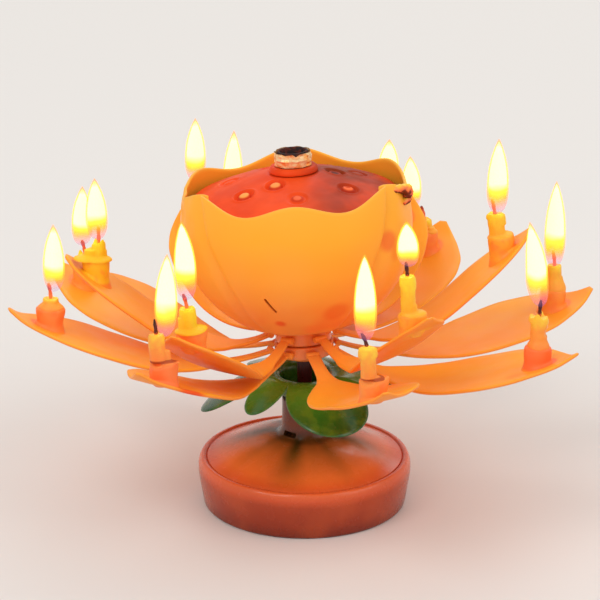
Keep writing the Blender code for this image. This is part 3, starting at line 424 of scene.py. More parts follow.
class NodeBoard:
    """Short calls for building one material's nodes."""

    def __init__(self, name: str) -> None:
        """Start a material that holds one Principled shader."""
        self.surface = bpy.data.materials.new(name)
        self.surface.use_nodes = True
        self.tree = self.surface.node_tree
        self.shader = self.tree.nodes["Principled BSDF"]
        self.output = self.tree.nodes["Material Output"]
        self.coordinates = self.tree.nodes.new("ShaderNodeTexCoord")

    def link(self, source: bpy.types.NodeSocket, target: bpy.types.NodeSocket) -> None:
        """Join two sockets."""
        self.tree.links.new(source, target)

    def feed(self, node: bpy.types.Node, index: int | str, value) -> None:
        """Set an input from a socket or a plain value."""
        socket = node.inputs[index]
        if isinstance(value, bpy.types.NodeSocket):
            self.link(value, socket)
        elif isinstance(value, tuple) and len(value) == 3 and socket.type == "RGBA":
            socket.default_value = (*value, 1.0)
        else:
            socket.default_value = value

    def local(self) -> bpy.types.NodeSocket:
        """Return the piece's own coordinates, in metres."""
        return self.coordinates.outputs["Object"]

    def axes(self, vector: bpy.types.NodeSocket) -> tuple[bpy.types.NodeSocket, ...]:
        """Return a vector's three values."""
        node = self.tree.nodes.new("ShaderNodeSeparateXYZ")
        self.link(vector, node.inputs[0])
        return node.outputs[0], node.outputs[1], node.outputs[2]

    def stretch(self, vector: bpy.types.NodeSocket, scale: Colour) -> bpy.types.NodeSocket:
        """Return a vector scaled along each axis."""
        node = self.tree.nodes.new("ShaderNodeMapping")
        self.link(vector, node.inputs["Vector"])
        node.inputs["Scale"].default_value = scale
        return node.outputs[0]

    def noise(self, scale: float, detail: float = 3.0, vector: bpy.types.NodeSocket | None = None,
              rough: float = 0.5) -> bpy.types.NodeSocket:
        """Return a noise value from 0 to 1."""
        node = self.tree.nodes.new("ShaderNodeTexNoise")
        node.inputs["Scale"].default_value = scale
        node.inputs["Detail"].default_value = detail
        node.inputs["Roughness"].default_value = rough
        self.link(vector or self.local(), node.inputs["Vector"])
        return node.outputs["Fac"]

    def sum(self, operation: str, first, second=0.0, clamp: bool = False) -> bpy.types.NodeSocket:
        """Return the result of a math operation on two values."""
        node = self.tree.nodes.new("ShaderNodeMath")
        node.operation = operation
        node.use_clamp = clamp
        self.feed(node, 0, first)
        if operation not in ("ABSOLUTE", "SQRT", "SINE", "COSINE"):
            self.feed(node, 1, second)
        return node.outputs[0]

    def span(self, value, low: float, high: float, start: float = 0.0, end: float = 1.0,
             soft: bool = True) -> bpy.types.NodeSocket:
        """Map a value between two bounds to a range."""
        node = self.tree.nodes.new("ShaderNodeMapRange")
        node.interpolation_type = "SMOOTHSTEP" if soft else "LINEAR"
        self.feed(node, 0, value)
        for index, number in enumerate((low, high, start, end), 1):
            node.inputs[index].default_value = number
        return node.outputs[0]

    def from_axis(self, x: bpy.types.NodeSocket, y: bpy.types.NodeSocket) -> bpy.types.NodeSocket:
        """Return the distance from the piece's upright axis."""
        squares = self.sum("ADD", self.sum("MULTIPLY", x, x), self.sum("MULTIPLY", y, y))
        return self.sum("SQRT", squares)

    def ramp(self, value, stops: Sequence[tuple[float, Colour]],
             soft: bool = False) -> bpy.types.NodeSocket:
        """Return the colour of a ramp at a value."""
        node = self.tree.nodes.new("ShaderNodeValToRGB")
        node.color_ramp.interpolation = "EASE" if soft else "LINEAR"
        elements = node.color_ramp.elements
        while len(elements) < len(stops):
            elements.new(0.5)
        for element, (place, colour) in zip(elements, stops):
            element.position = place
            element.color = (*colour, 1.0)
        self.feed(node, 0, value)
        return node.outputs[0]

    def mix(self, share, first, second, blend: str = "MIX") -> bpy.types.NodeSocket:
        """Return a mix of two colours."""
        node = self.tree.nodes.new("ShaderNodeMix")
        node.data_type = "RGBA"
        node.blend_type = blend
        node.clamp_factor = True
        self.feed(node, 0, share)
        self.feed(node, 6, first)
        self.feed(node, 7, second)
        return node.outputs[2]

    def spot(self, middle: Colour, inner: float, outer: float,
             strength: float = 1.0) -> bpy.types.NodeSocket:
        """Return a value that is strong near a point of the piece and fades outward."""
        node = self.tree.nodes.new("ShaderNodeVectorMath")
        node.operation = "DISTANCE"
        self.link(self.local(), node.inputs[0])
        node.inputs[1].default_value = middle
        return self.span(node.outputs["Value"], inner, outer, strength, 0.0)

    def bump(self, height: bpy.types.NodeSocket, strength: float, depth: float) -> None:
        """Bump the surface by a height value."""
        node = self.tree.nodes.new("ShaderNodeBump")
        node.inputs["Strength"].default_value = strength
        node.inputs["Distance"].default_value = depth
        self.link(height, node.inputs["Height"])
        self.link(node.outputs[0], self.shader.inputs["Normal"])

    def skin(self, wear: float, gloss: tuple[float, float], grain: float, strength: float,
             depth: float, detail: float = 2.0) -> None:
        """Vary the roughness and bump the surface.

        Args:
            wear: scale of the noise that varies the roughness.
            gloss: least and greatest roughness.
            grain: scale of the noise that bumps the surface.
            strength: strength of the bump.
            depth: depth of the bump in metres.
            detail: detail of the bump's noise.
        """
        self.set(roughness=self.span(self.noise(wear), 0.3, 0.7, *gloss))
        self.bump(self.noise(grain, detail), strength, depth)

    def set(self, **values: float) -> None:
        """Set plain values on the shader, its socket names with underscores."""
        for name, value in values.items():
            self.feed(self.shader, name.replace("_", " ").title().replace("Ior", "IOR"), value)


@dataclass(frozen=True)
class Finish:
    """A named finish; the material is made once and then shared."""

    name: str

    def material(self) -> bpy.types.Material:
        """Return the finish's material, made at the first call."""
        found = bpy.data.materials.get(self.name)
        if found:
            return found
        board = NodeBoard(self.name)
        self.build(board)
        return board.surface

    def build(self, board: NodeBoard) -> None:
        """Fill the board; each finish has its own nodes."""
        raise NotImplementedError


@dataclass(frozen=True)
class Moulded(Finish):
    """Moulded plastic with cloudy colour, a fine skin and worn gloss."""

    colour: Colour = (0.5, 0.5, 0.5)
    other: Colour = (0.4, 0.4, 0.4)
    roughness: float = 0.35
    cloud: float = 90.0
    skin: float = 1400.0
    depth: float = 0.00004

    def build(self, board: NodeBoard) -> None:
        """Mix two near colours and vary the gloss."""
        cloud = board.noise(self.cloud, 4.0)
        board.set(base_color=board.mix(board.span(cloud, 0.35, 0.65), self.colour, self.other))
        wear = board.noise(self.cloud * 5, 2.0)
        board.set(roughness=board.span(wear, 0.3, 0.7, self.roughness * 0.85, self.roughness * 1.2))
        board.bump(board.noise(self.skin, 2.0), 0.25, self.depth)


@dataclass(frozen=True)
class PetalPlastic(Finish):
    """Petal of smooth thin plastic, golden above and pinker at its hinge, with painted light: painted
    shade in a pinker tone on its edges and underside, painted flame glow near the socket and painted
    socket shadows.
    """

    reach: float = 0.0745
    seat: Colour = (0.0629, 0.0, 0.0)
    socket: Colour = srgb(255, 146, 64)
    socket_shadows: tuple[tuple[Colour, float, float], ...] = ()
    # Painted light: the hinge colour is lightened to offset the shade there, outer is painted flame glow
    # near the socket, below is painted shade.
    hinge: Colour = srgb(255, 164, 70)
    middle: Colour = srgb(255, 168, 48)
    outer: Colour = srgb(255, 174, 44)
    below: Colour = srgb(255, 150, 56)

    def build(self, board: NodeBoard) -> None:
        """Grade from the hinge to the tip with painted flame glow near the socket, and give the socket
        its own tint.
        """
        x, _, _ = board.axes(board.local())
        along = board.span(x, 0.0, self.reach, soft=False)
        # Painted light along the petal: the hinge stop is lightened against shade, and the brightest stop
        # near the socket is painted flame glow.
        colour = board.ramp(along, (
            (0.0, self.hinge), (0.3, self.middle), (0.75, self.outer), (1.0, self.middle)))
        cloud = board.noise(1.0, 2.0, board.stretch(board.local(), (25.0, 80.0, 60.0)))
        colour = board.mix(board.span(cloud, 0.42, 0.7, 0.0, 0.3), colour, srgb(255, 140, 54))
        # Painted shade: downward faces, the turned-down edges and the underside take the deeper below
        # colour.
        _, _, up = board.axes(board.coordinates.outputs["Normal"])
        colour = board.mix(board.span(up, 0.15, 0.8, 1.0, 0.0), colour, self.below)
        # Painted shadow that the socket casts on the blade's near side, in a deep red-orange.
        for middle, reach, strength in self.socket_shadows:
            socket_shadow = board.spot(middle, reach * 0.3, reach, strength)
            colour = board.mix(socket_shadow, colour, srgb(240, 74, 30))
        near = board.spot((self.seat[0], self.seat[1], self.seat[2] + 0.0032), 0.0049, 0.0058)
        stain = board.span(board.noise(300.0, 2.0), 0.4, 0.66, 0.0, 0.4)
        colour = board.mix(near, colour, board.mix(stain, self.socket, srgb(255, 118, 62)))
        board.set(base_color=colour, specular_ior_level=0.18)
        board.skin(160.0, (0.34, 0.46), 220.0, 0.1, 0.00004)


@dataclass(frozen=True)
class CupPlastic(Finish):
    """Cup petal: golden towards the rim as painted flame glow, pinker and patchy at the foot, its foot
    colours lightened to offset the shade there, with small stains.
    """

    low: float = 0.0096
    high: float = 0.0510
    marks: tuple[tuple[Colour, float, float], ...] = ()

    def build(self, board: NodeBoard) -> None:
        """Grade from the foot to the rim with painted flame glow towards the rim, and lay the stains over
        it.
        """
        _, _, z = board.axes(board.local())
        up = board.span(z, self.low, self.high, soft=False)
        wave = board.sum("ADD", up, board.span(board.noise(32.0, 2.0), 0.3, 0.7, -0.06, 0.06))
        # Painted light: the rim stops are painted flame glow, and the foot stops are lightened against
        # the shade that falls there.
        colour = board.ramp(wave, (
            (0.0, srgb(255, 164, 88)), (0.2, srgb(255, 168, 80)), (0.5, srgb(255, 172, 60)),
            (0.75, srgb(255, 176, 48)), (1.0, srgb(255, 182, 58))))
        patch = board.sum("MULTIPLY", board.span(board.noise(60.0, 2.0), 0.52, 0.66),
                          board.span(up, 0.05, 0.4, 0.4, 0.0))
        colour = board.mix(patch, colour, srgb(255, 108, 60))
        for middle, reach, strength in self.marks:
            stain = board.spot(middle, reach * 0.4, reach, strength)
            colour = board.mix(stain, colour, srgb(240, 84, 42))
        board.set(base_color=colour, specular_ior_level=0.2)
        board.skin(140.0, (0.34, 0.46), 200.0, 0.12, 0.00005)


@dataclass(frozen=True)
class AirbrushedShell(Finish):
    """Glossy shell with soft olive bands sprayed outward from the neck, painted shade down its side wall
    and round the neck's foot, and a painted highlight on its rim.
    """

    neck: float = 0.0063
    edge: float = 0.0274
    rim: float = 0.0136
    top: float = 0.0204
    bands: tuple[tuple[float, float, float], ...] = (
        (-146.0, 19.0, 0.7), (-101.0, 22.0, 0.85), (-56.0, 12.0, 0.25), (-13.0, 17.0, 0.95),
        (30.0, 12.0, 0.35), (76.0, 23.0, 0.85), (122.0, 17.0, 0.65), (168.0, 18.0, 0.7))

    def build(self, board: NodeBoard) -> None:
        """Lay the bands over the shell colour by azimuth and radius."""
        x, y, z = board.axes(board.local())
        turn = board.sum("ARCTAN2", x, board.sum("MULTIPLY", y, -1.0))
        share = board.span(turn, -math.pi, math.pi, soft=False)
        stops: list[tuple[float, Colour]] = []
        for azimuth, half, strength in sorted(self.bands):
            for offset, level in ((-half, 0.0), (0.0, strength), (half, 0.0)):
                stops.append((((azimuth + offset) / 360.0 + 0.5) % 1.0, (level, level, level)))
        band = board.ramp(share, sorted(stops), soft=True)
        flat = board.from_axis(x, y)
        fade = board.span(flat, self.neck + 0.004, self.edge + 0.001, 1.0, 0.25)
        above = board.span(z, self.rim - 0.0002, self.rim + 0.0006)
        cloud = board.span(board.noise(120.0, 4.0), 0.3, 0.7, 0.8, 1.0)
        sprayed = board.sum("MULTIPLY", band, fade)
        strength = board.sum("MULTIPLY", sprayed, board.sum("MULTIPLY", above, cloud))
        # Painted shade down the side wall, darkest at the bottom, and a painted highlight on the rim bead
        # at its top.
        side = board.ramp(board.span(z, 0.0, self.rim, soft=False), (
            (0.0, srgb(122, 40, 18)), (0.3, srgb(156, 52, 22)), (0.72, srgb(178, 64, 28)),
            (0.86, srgb(214, 84, 40)), (1.0, srgb(232, 108, 56))))
        dome = board.ramp(board.span(flat, self.neck, self.edge, soft=False), (
            (0.0, srgb(192, 104, 40)), (0.4, srgb(242, 122, 50)),
            (0.8, srgb(255, 122, 50)), (1.0, srgb(236, 92, 40))))
        base = board.mix(above, side, dome)
        base = board.mix(board.span(board.noise(70.0), 0.4, 0.7, 0.0, 0.3), base, srgb(214, 92, 40))
        olive = board.ramp(board.span(flat, self.neck, self.edge, soft=False), (
            (0.0, srgb(52, 48, 12)), (0.35, srgb(76, 68, 14)), (1.0, srgb(118, 72, 20))))
        colour = board.mix(strength, base, olive)
        neck = board.span(z, self.top - 0.0002, self.top + 0.0024)
        tone = board.ramp(board.span(z, self.top, 0.0312, soft=False), (
            (0.0, srgb(108, 48, 20)), (0.4, srgb(136, 62, 28)), (1.0, srgb(112, 50, 24))))
        colour = board.mix(neck, colour, tone)
        # Painted shadow round the foot of the neck.
        ring = board.span(flat, self.neck + 0.0001, self.neck + 0.0044, 0.85, 0.0)
        foot = board.sum("MULTIPLY", ring, board.span(z, self.top + 0.0002, self.top + 0.0030, 1.0, 0.0))
        board.set(base_color=board.mix(foot, colour, srgb(52, 40, 16)))
        board.set(specular_ior_level=0.35, coat_weight=0.12)
        board.skin(240.0, (0.20, 0.30), 260.0, 0.12, 0.00005)


@dataclass(frozen=True)
class LeafPlastic(Finish):
    """Glossy green of the calyx, with painted shade in its hollow, at its leaf ends and on its
    undersides, and painted highlight streaks.
    """

    def build(self, board: NodeBoard) -> None:
        """Grade by radius with painted shade in the hollow and at the leaf ends, painted highlight
        streaks along the leaves and painted shade below.
        """
        x, y, _ = board.axes(board.local())
        flat = board.from_axis(x, y)
        # Painted shade in the hollow round the shaft and at the drooping leaf ends.
        colour = board.ramp(board.span(flat, 0.004, 0.027, soft=False), (
            (0.0, srgb(30, 66, 14)), (0.14, srgb(56, 104, 22)), (0.3, srgb(86, 130, 26)),
            (0.6, srgb(64, 126, 30)), (0.85, srgb(32, 98, 22)), (1.0, srgb(26, 84, 18))))
        # Painted highlight streaks along the leaves.
        highlight_streak = board.noise(1.0, 3.0, board.stretch(board.local(), (260.0, 260.0, 90.0)))
        colour = board.mix(board.span(highlight_streak, 0.42, 0.7, 0.0, 0.45), colour, srgb(110, 140, 30))
        # Painted shade on the downward faces.
        _, _, up = board.axes(board.coordinates.outputs["Normal"])
        board.set(base_color=board.mix(board.span(up, -0.5, 0.0, 0.7, 0.0), colour, srgb(20, 60, 14)))
        board.set(coat_weight=0.15)
        board.skin(300.0, (0.20, 0.32), 330.0, 0.2, 0.00006, 3.0)


@dataclass(frozen=True)
class SeedPlastic(Finish):
    """Coral seed head with a brown cloud, painted shade on its right side, in its pit grooves and in its
    hollows, and tinted nubs in its pits.
    """

    nubs: tuple[tuple[Colour, float, Colour], ...] = ()
    brown: Colour = (0.0125, 0.0030, 0.0515)

    def build(self, board: NodeBoard) -> None:
        """Mix coral with painted shade on the right, lay the brown cloud, tint each nub and paint shade
        in the groove round it.
        """
        x, _, _ = board.axes(board.local())
        cloud = board.span(board.noise(110.0), 0.35, 0.7)
        colour = board.mix(cloud, srgb(248, 82, 28), srgb(234, 70, 24))
        # Painted shade on the right side.
        shade = board.sum("MULTIPLY", board.span(board.noise(60.0, 3.0), 0.36, 0.6, 0.35, 1.0),
                          board.span(x, -0.004, 0.014, 0.0, 0.95))
        colour = board.mix(shade, colour, srgb(156, 48, 18))
        brown = board.sum("MULTIPLY", board.spot(self.brown, 0.0030, 0.0100, 0.9),
                          board.span(board.noise(150.0, 3.0), 0.3, 0.55, 0.5, 1.0))
        colour = board.mix(brown, colour, srgb(132, 52, 22))
        for middle, reach, tint in self.nubs:
            # Painted shade in the groove round each nub.
            ring = board.spot(middle, reach * 1.15, reach * 1.8, 0.6)
            colour = board.mix(ring, colour, srgb(186, 46, 24))
            colour = board.mix(board.spot(middle, reach * 0.7, reach * 1.1), colour, tint)
        board.set(base_color=colour, specular_ior_level=0.08)
        board.skin(260.0, (0.38, 0.50), 300.0, 0.2, 0.00006, 3.0)


@dataclass(frozen=True)
class WaxFinish(Finish):
    """Soft wax, bright yellow where it is hot and peach at its foot."""

    low: float = 0.006
    high: float = 0.013
    warmth: float = 0.5
    scorch: float = 0.0

    def build(self, board: NodeBoard) -> None:
        """Shade from the foot to the melted top, with runny streaks and a scorched line."""
        _, _, z = board.axes(board.local())
        up = board.span(z, self.low, self.high, soft=False)
        wave = board.sum("ADD", up, board.span(board.noise(380.0, 3.0), 0.3, 0.7, -0.16, 0.16))
        colour = board.ramp(wave, (
            (0.0, between(srgb(255, 136, 70), srgb(253, 194, 44), self.warmth)),
            (0.5, between(srgb(255, 148, 68), srgb(252, 206, 42), self.warmth)),
            (1.0, between(srgb(255, 196, 66), srgb(253, 226, 48), self.warmth))))
        if self.scorch:
            away = board.sum("ABSOLUTE", board.sum("SUBTRACT", z, self.scorch))
            colour = board.mix(board.span(away, 0.0002, 0.0006, 0.8, 0.0), colour, srgb(150, 40, 20))
        board.set(base_color=colour, specular_ior_level=0.2)
        board.set(subsurface_weight=0.1, subsurface_scale=0.001)
        board.skin(700.0, (0.34, 0.5), 420.0, 0.25, 0.00015, 3.0)


@dataclass(frozen=True)
class Char(Finish):
    """Burnt powder or scorched paper, grey where ash has formed."""

    ash: Colour = srgb(92, 60, 42)
    soot: Colour = srgb(24, 14, 10)
    scale: float = 2600.0

    def build(self, board: NodeBoard) -> None:
        """Mix soot and ash in a rough crust."""
        crust = board.noise(self.scale, 4.0)
        board.set(base_color=board.mix(board.span(crust, 0.42, 0.72), self.soot, self.ash))
        board.set(roughness=board.span(crust, 0.2, 0.8, 0.7, 0.95))
        board.bump(crust, 0.6, 0.0003)


@dataclass(frozen=True)
class WickFinish(Finish):
    """Twisted wick, waxy at its foot and charred towards its tip."""

    lit: bool = True

    def build(self, board: NodeBoard) -> None:
        """Shade along the wick, paler where the flame shines through it."""
        _, _, up = board.axes(board.coordinates.outputs["Generated"])
        crust = board.noise(2200.0, 3.0)
        wave = board.sum("ADD", up, board.span(crust, 0.3, 0.7, -0.08, 0.08))
        if self.lit:
            stops = ((0.0, srgb(255, 176, 70)), (0.35, srgb(255, 132, 74)), (0.7, srgb(226, 96, 52)),
                     (1.0, srgb(110, 44, 26)))
        else:
            stops = ((0.0, srgb(255, 176, 70)), (0.28, srgb(206, 92, 40)), (0.42, srgb(88, 26, 14)),
                     (1.0, srgb(44, 16, 10)))
        board.set(base_color=board.ramp(wave, stops))
        board.set(roughness=board.span(crust, 0.2, 0.8, 0.6, 0.9))
        board.bump(crust, 0.5, 0.0002)


@dataclass(frozen=True)
class MeltedFinish(Finish):
    """Wax and plastic melted together, coloured by facing: bright yellow on top, burnt brown with painted
    shade on its underside.
    """

    def build(self, board: NodeBoard) -> None:
        """Colour by facing, from the bright top to the underside's burnt brown and painted shade."""
        _, _, up = board.axes(board.coordinates.outputs["Normal"])
        lump = board.noise(420.0, 3.0)
        wave = board.sum("ADD", up, board.span(lump, 0.3, 0.7, -0.35, 0.35))
        # Faces turned down go dark: partly burnt brown, partly painted shade.
        colour = board.ramp(board.span(wave, -1.0, 1.0, soft=False), (
            (0.0, srgb(84, 22, 12)), (0.3, srgb(120, 36, 18)), (0.42, srgb(232, 104, 62)),
            (0.62, srgb(255, 146, 66)), (1.0, srgb(250, 206, 52))))
        board.set(base_color=colour, specular_ior_level=0.35)
        board.set(roughness=board.span(lump, 0.3, 0.7, 0.35, 0.6))
        board.bump(lump, 0.4, 0.0003)


@dataclass(frozen=True)
class Flame(Finish):
    """Burning gas, its colour and cover set by the height within the flame."""

    stops: tuple[tuple[float, Colour, float], ...] = ()
    power: float = 3.0

    def build(self, board: NodeBoard) -> None:
        """Lay the colour and the cover over the flame's height."""
        _, _, up = board.axes(board.coordinates.outputs["Generated"])
        lick = board.sum("ADD", up, board.span(board.noise(160.0, 1.0), 0.3, 0.7, -0.025, 0.025))
        colour = board.ramp(lick, [(place, tint) for place, tint, _ in self.stops])
        cover = board.ramp(lick, [(place, (share, share, share)) for place, _, share in self.stops])
        board.set(base_color=colour, emission_color=colour, emission_strength=self.power)
        board.set(alpha=cover, roughness=0.9, specular_ior_level=0.0)


@dataclass(frozen=True)
class Metal(Finish):
    """Plated or bare metal with brushed roughness."""

    colour: Colour = (0.6, 0.6, 0.6)
    dull: Colour = (0.4, 0.4, 0.4)
    roughness: float = 0.3

    def build(self, board: NodeBoard) -> None:
        """Mix bright and dull metal along fine brushing."""
        brush = board.noise(1.0, 3.0, board.stretch(board.local(), (2400.0, 300.0, 2400.0)))
        tarnish = board.span(board.noise(240.0, 3.0), 0.35, 0.7)
        board.set(base_color=board.mix(tarnish, self.colour, self.dull), metallic=1.0)
        board.set(roughness=board.span(brush, 0.3, 0.7, self.roughness * 0.8, self.roughness * 1.3))
        board.bump(brush, 0.15, 0.00003)


@dataclass(frozen=True)
class FoilFinish(Finish):
    """Crinkled foil, cream and gold, dirty at its foot."""

    low: float = 0.0540
    high: float = 0.0590

    def build(self, board: NodeBoard) -> None:
        """Lay soot over crinkled cream and gold."""
        _, _, z = board.axes(board.local())
        up = board.span(z, self.low, self.high, soft=False)
        crease = board.noise(500.0, 3.0)
        metal = board.mix(board.span(crease, 0.4, 0.6), srgb(255, 176, 96), srgb(255, 220, 166))
        dirt = board.sum("ADD", board.span(up, 0.0, 0.3, 0.8, 0.0), board.span(up, 0.82, 1.0, 0.0, 0.6))
        soot = board.sum("MULTIPLY", dirt, board.span(board.noise(1100.0, 3.0), 0.35, 0.6, 0.2, 1.0))
        board.set(base_color=board.mix(soot, metal, srgb(64, 24, 14)), metallic=0.55)
        board.set(roughness=board.span(crease, 0.3, 0.7, 0.28, 0.5))
        board.bump(crease, 0.4, 0.0003)


@dataclass(frozen=True)
class Board(Finish):
    """Circuit board with faint copper tracks under its lacquer."""

    tracks: float = 3600.0

    def build(self, board: NodeBoard) -> None:
        """Draw tracks as thin lines in the lacquer."""
        x, y, _ = board.axes(board.local())
        across = board.sum("ADD", x, board.sum("ABSOLUTE", y))
        wave = board.sum("SINE", board.sum("MULTIPLY", across, self.tracks))
        track = board.span(wave, 0.72, 0.86)
        cloud = board.span(board.noise(300.0), 0.4, 0.7)
        lacquer = board.mix(cloud, srgb(16, 92, 44), srgb(12, 78, 38))
        board.set(base_color=board.mix(track, lacquer, srgb(52, 128, 62)))
        board.set(roughness=board.span(board.noise(500.0), 0.3, 0.7, 0.3, 0.45))
        board.bump(track, 0.3, 0.00004)


@dataclass(frozen=True)
class StagePaint(Finish):
    """Matt paint of the floor."""

    colour: Colour = (0.8, 0.8, 0.8)

    def build(self, board: NodeBoard) -> None:
        """One calm matt colour with hardly any variation."""
        cloud = board.noise(2.0, 2.0)
        near = tuple(value * 0.99 for value in self.colour)
        board.set(base_color=board.mix(cloud, self.colour, near))
        board.set(roughness=0.95, specular_ior_level=0.0)


# The stage


@dataclass
class Studio:
    """Pale floor, soft lamps and the camera."""

    floor_colour: Colour = srgb(232, 228, 224)
    floor_reach: float = 9.0
    sky: float = 0.62
    lens: float = 215.47
    camera_place: Colour = (0.0, -0.93445, 0.41126)
    camera_tilt: float = 69.40
    camera_turn: float = 0.078
    lamps: tuple[tuple[Colour, float, float], ...] = (
        ((-0.9, -1.1, 1.6), 1.2, 14.0), ((1.3, -0.6, 1.2), 1.4, 8.0), ((0.2, 1.4, 1.3), 1.2, 7.0))

    def build(self) -> None:
        """Make the floor, sky, lamps and camera."""
        form = bmesh.new()
        bmesh.ops.create_grid(form, x_segments=2, y_segments=2, size=self.floor_reach)
        paint = StagePaint("floor_paint", self.floor_colour)
        floor = place_object("floor", new_mesh("floor", form), paint)
        world = bpy.data.worlds.new("studio")
        bpy.context.scene.world = world
        world.use_nodes = True
        ground = world.node_tree.nodes["Background"]
        ground.inputs["Color"].default_value = (1.0, 0.99, 0.975, 1.0)
        ground.inputs["Strength"].default_value = self.sky
        for number, (place, size, power) in enumerate(self.lamps, 1):
            data = bpy.data.lights.new(f"soft_lamp_{number}", "AREA")
            data.size = size
            data.energy = power
            lamp = bpy.data.objects.new(f"soft_lamp_{number}", data)
            bpy.context.scene.collection.objects.link(lamp)
            lamp.location = place
            aim = Vector((0.0, 0.0, 0.04)) - Vector(place)
            lamp.rotation_euler = aim.to_track_quat("-Z", "Y").to_euler()
        view = bpy.data.cameras.new("camera")
        view.lens = self.lens
        view.sensor_width = 36.0
        camera = bpy.data.objects.new("camera", view)
        bpy.context.scene.collection.objects.link(camera)
        camera.location = self.camera_place
        camera.rotation_euler = turned(self.camera_tilt, 0.0, self.camera_turn).to_euler()
        bpy.context.scene.camera = camera
        bpy.context.scene.view_settings.view_transform = "Standard"


# Sub-assemblies


@dataclass
class MusicBase:
    """Round shell of the music base with its bead rim, dome and neck."""

    radius: float = 0.0300
    foot_radius: float = 0.0283
    widest: float = 0.0096
    wall_height: float = 0.0136
    wall: float = 0.0016
    dome_edge: float = 0.0274
    dome_top: float = 0.0204
    dome_curve: float = 1.15
    neck_radius: float = 0.0063
    neck_top: float = 0.0312
    bore: float = 0.0034
    slot: Colour = (0.0042, 0.0040, 0.0014)
    slot_azimuth: float = -38.0
    steps: int = 160

    def dome(self, count: int = 16) -> list[tuple[float, float, float]]:
        """Return the dome's profile from the neck to the rim."""
        points = []
        for step in range(2, count + 1):
            share = step / count
            height = math.cos(share * math.pi / 2) ** self.dome_curve
            points.append((
                self.neck_radius + (self.dome_edge - self.neck_radius) * share,
                self.wall_height + (self.dome_top - self.wall_height) * height, 0.0))
        return points

    def build(self) -> bpy.types.Object:
        """Turn the shell, cut its slot and let it stand for the housing."""
        rim = self.wall_height + 0.0002
        inner = self.radius - self.wall
        profile = [
            (self.bore, self.neck_top, 0.0), (self.neck_radius, self.neck_top, 0.0004),
            (self.neck_radius, self.dome_top + 0.0026, 0.0016),
            (self.neck_radius + 0.0012, self.dome_top + 0.0001, 0.0008),
            *self.dome(),
            (self.dome_edge + 0.0001, self.wall_height - 0.0006, 0.0002),
            (self.dome_edge + 0.0006, rim, 0.0005), (self.radius - 0.0008, rim, 0.0010),
            (self.radius - 0.0001, self.wall_height - 0.0016, 0.0006),
            (self.radius, self.widest, 0.0020), (self.foot_radius + 0.0002, 0.0004, 0.0006),
            (self.foot_radius - 0.0004, 0.0, 0.0002), (self.foot_radius - self.wall, 0.0, 0.0002),
            (inner, self.widest, 0.0010),
            (self.dome_edge - self.wall, self.wall_height - self.wall, 0.0010),
            (self.neck_radius + 0.0060, self.dome_top - 0.0036, 0.0020),
            (self.bore, self.dome_top - 0.0018, 0.0),
        ]
        form = bmesh.new()
        add_lathe(form, rounded(profile), self.steps, closed=True)
        mesh = new_mesh("music_shell", form)
        shell = place_object("music_shell", mesh, AirbrushedShell("shell_finish"))
        turn = Matrix.Rotation(math.radians(self.slot_azimuth), 4, "Z")
        place = polar(self.neck_radius, self.slot_azimuth, self.dome_top + self.slot[2])
        cut_box(shell, self.slot, Matrix.Translation(place) @ turn)
        stand_in(shell, "base", "base_housing")
        return shell


@dataclass
class Calyx:
    """Cup of curled green leaves round the top of the neck."""

    seat: float = 0.0325
    seat_radius: float = 0.0066
    lip_radius: float = 0.0074
    lip_height: float = 0.0396
    reach: float = 0.0270
    drop: float = 0.0100
    thickness: float = 0.0007
    notch: float = 0.36
    crest: float = 0.8
    bend: float = 0.31
    droop_curve: float = 1.5
    shaft: float = 0.0035
    leaves: tuple[tuple[float, float, float, float], ...] = (
        (-92.0, 30.0, 1.08, 1.25), (-46.0, 24.0, 0.80, 0.75), (22.0, 46.0, 1.04, 0.95),
        (86.0, 30.0, 0.96, 0.35), (146.0, 36.0, 0.98, 0.80), (-152.0, 36.0, 0.95, 0.60))
    columns: int = 216
    rows: int = 22

    def point(self, azimuth: float, share: float) -> Vector:
        """Return the point of the calyx at an azimuth and a share of its length."""
        best = total = reach_share = droop_share = 0.0
        for middle, half, reach, droop in self.leaves:
            weight = max(0.0, math.cos(math.pi / 2 * min(azimuth_gap(azimuth, middle) / half, 1.0)))
            best = max(best, weight)
            pull = weight ** 4 + 0.000001
            total += pull
            reach_share += reach * pull
            droop_share += droop * pull
        reach_share /= total
        droop_share /= total
        end = self.notch + (1.0 - self.notch) * math.sqrt(best)
        along = share * end
        floor = self.seat + self.thickness
        crest = floor + (self.lip_height - floor) * self.crest
        if along < self.notch:
            rise = along / self.notch
            return polar(self.seat_radius + (self.lip_radius - self.seat_radius) * rise ** 2,
                         azimuth, floor + (crest - floor) * rise)
        over = (along - self.notch) / (1.0 - self.notch)
        radius = self.lip_radius + (self.reach * reach_share - self.lip_radius) * over
        bump = (self.lip_height - crest) * math.sin(min(1.0, over / self.bend) * math.pi / 2)
        return polar(radius, azimuth, crest + bump - self.drop * droop_share * over ** self.droop_curve)

    def build(self) -> bpy.types.Object:
        """Make the leaves as one rounded sheet."""
        outward = [self.notch + 0.62 * step / self.rows for step in range(self.rows + 1)]
        shares = [0.0, 0.12, 0.25, 0.32, *outward, 0.995, 1.0]
        grid = []
        turns = [360.0 * column / self.columns for column in range(self.columns)]
        for radius in (self.shaft, self.shaft + 0.0006, self.seat_radius - 0.0004):
            grid.append([polar(radius, turn, self.seat + self.thickness / 2) for turn in turns])
        down = Vector((0.0, 0.0, -self.thickness / 2))
        for share in shares:
            grid.append([self.point(turn, share) + down for turn in turns])
        form = bmesh.new()
        add_sheet(form, grid, self.thickness, wrap=True, open_start=True)
        mesh = new_mesh("calyx_leaves", form, 60.0)
        leaves = place_object("calyx_leaves", mesh, LeafPlastic("leaf_finish"))
        stand_in(leaves, "base", "calyx")
        return leaves


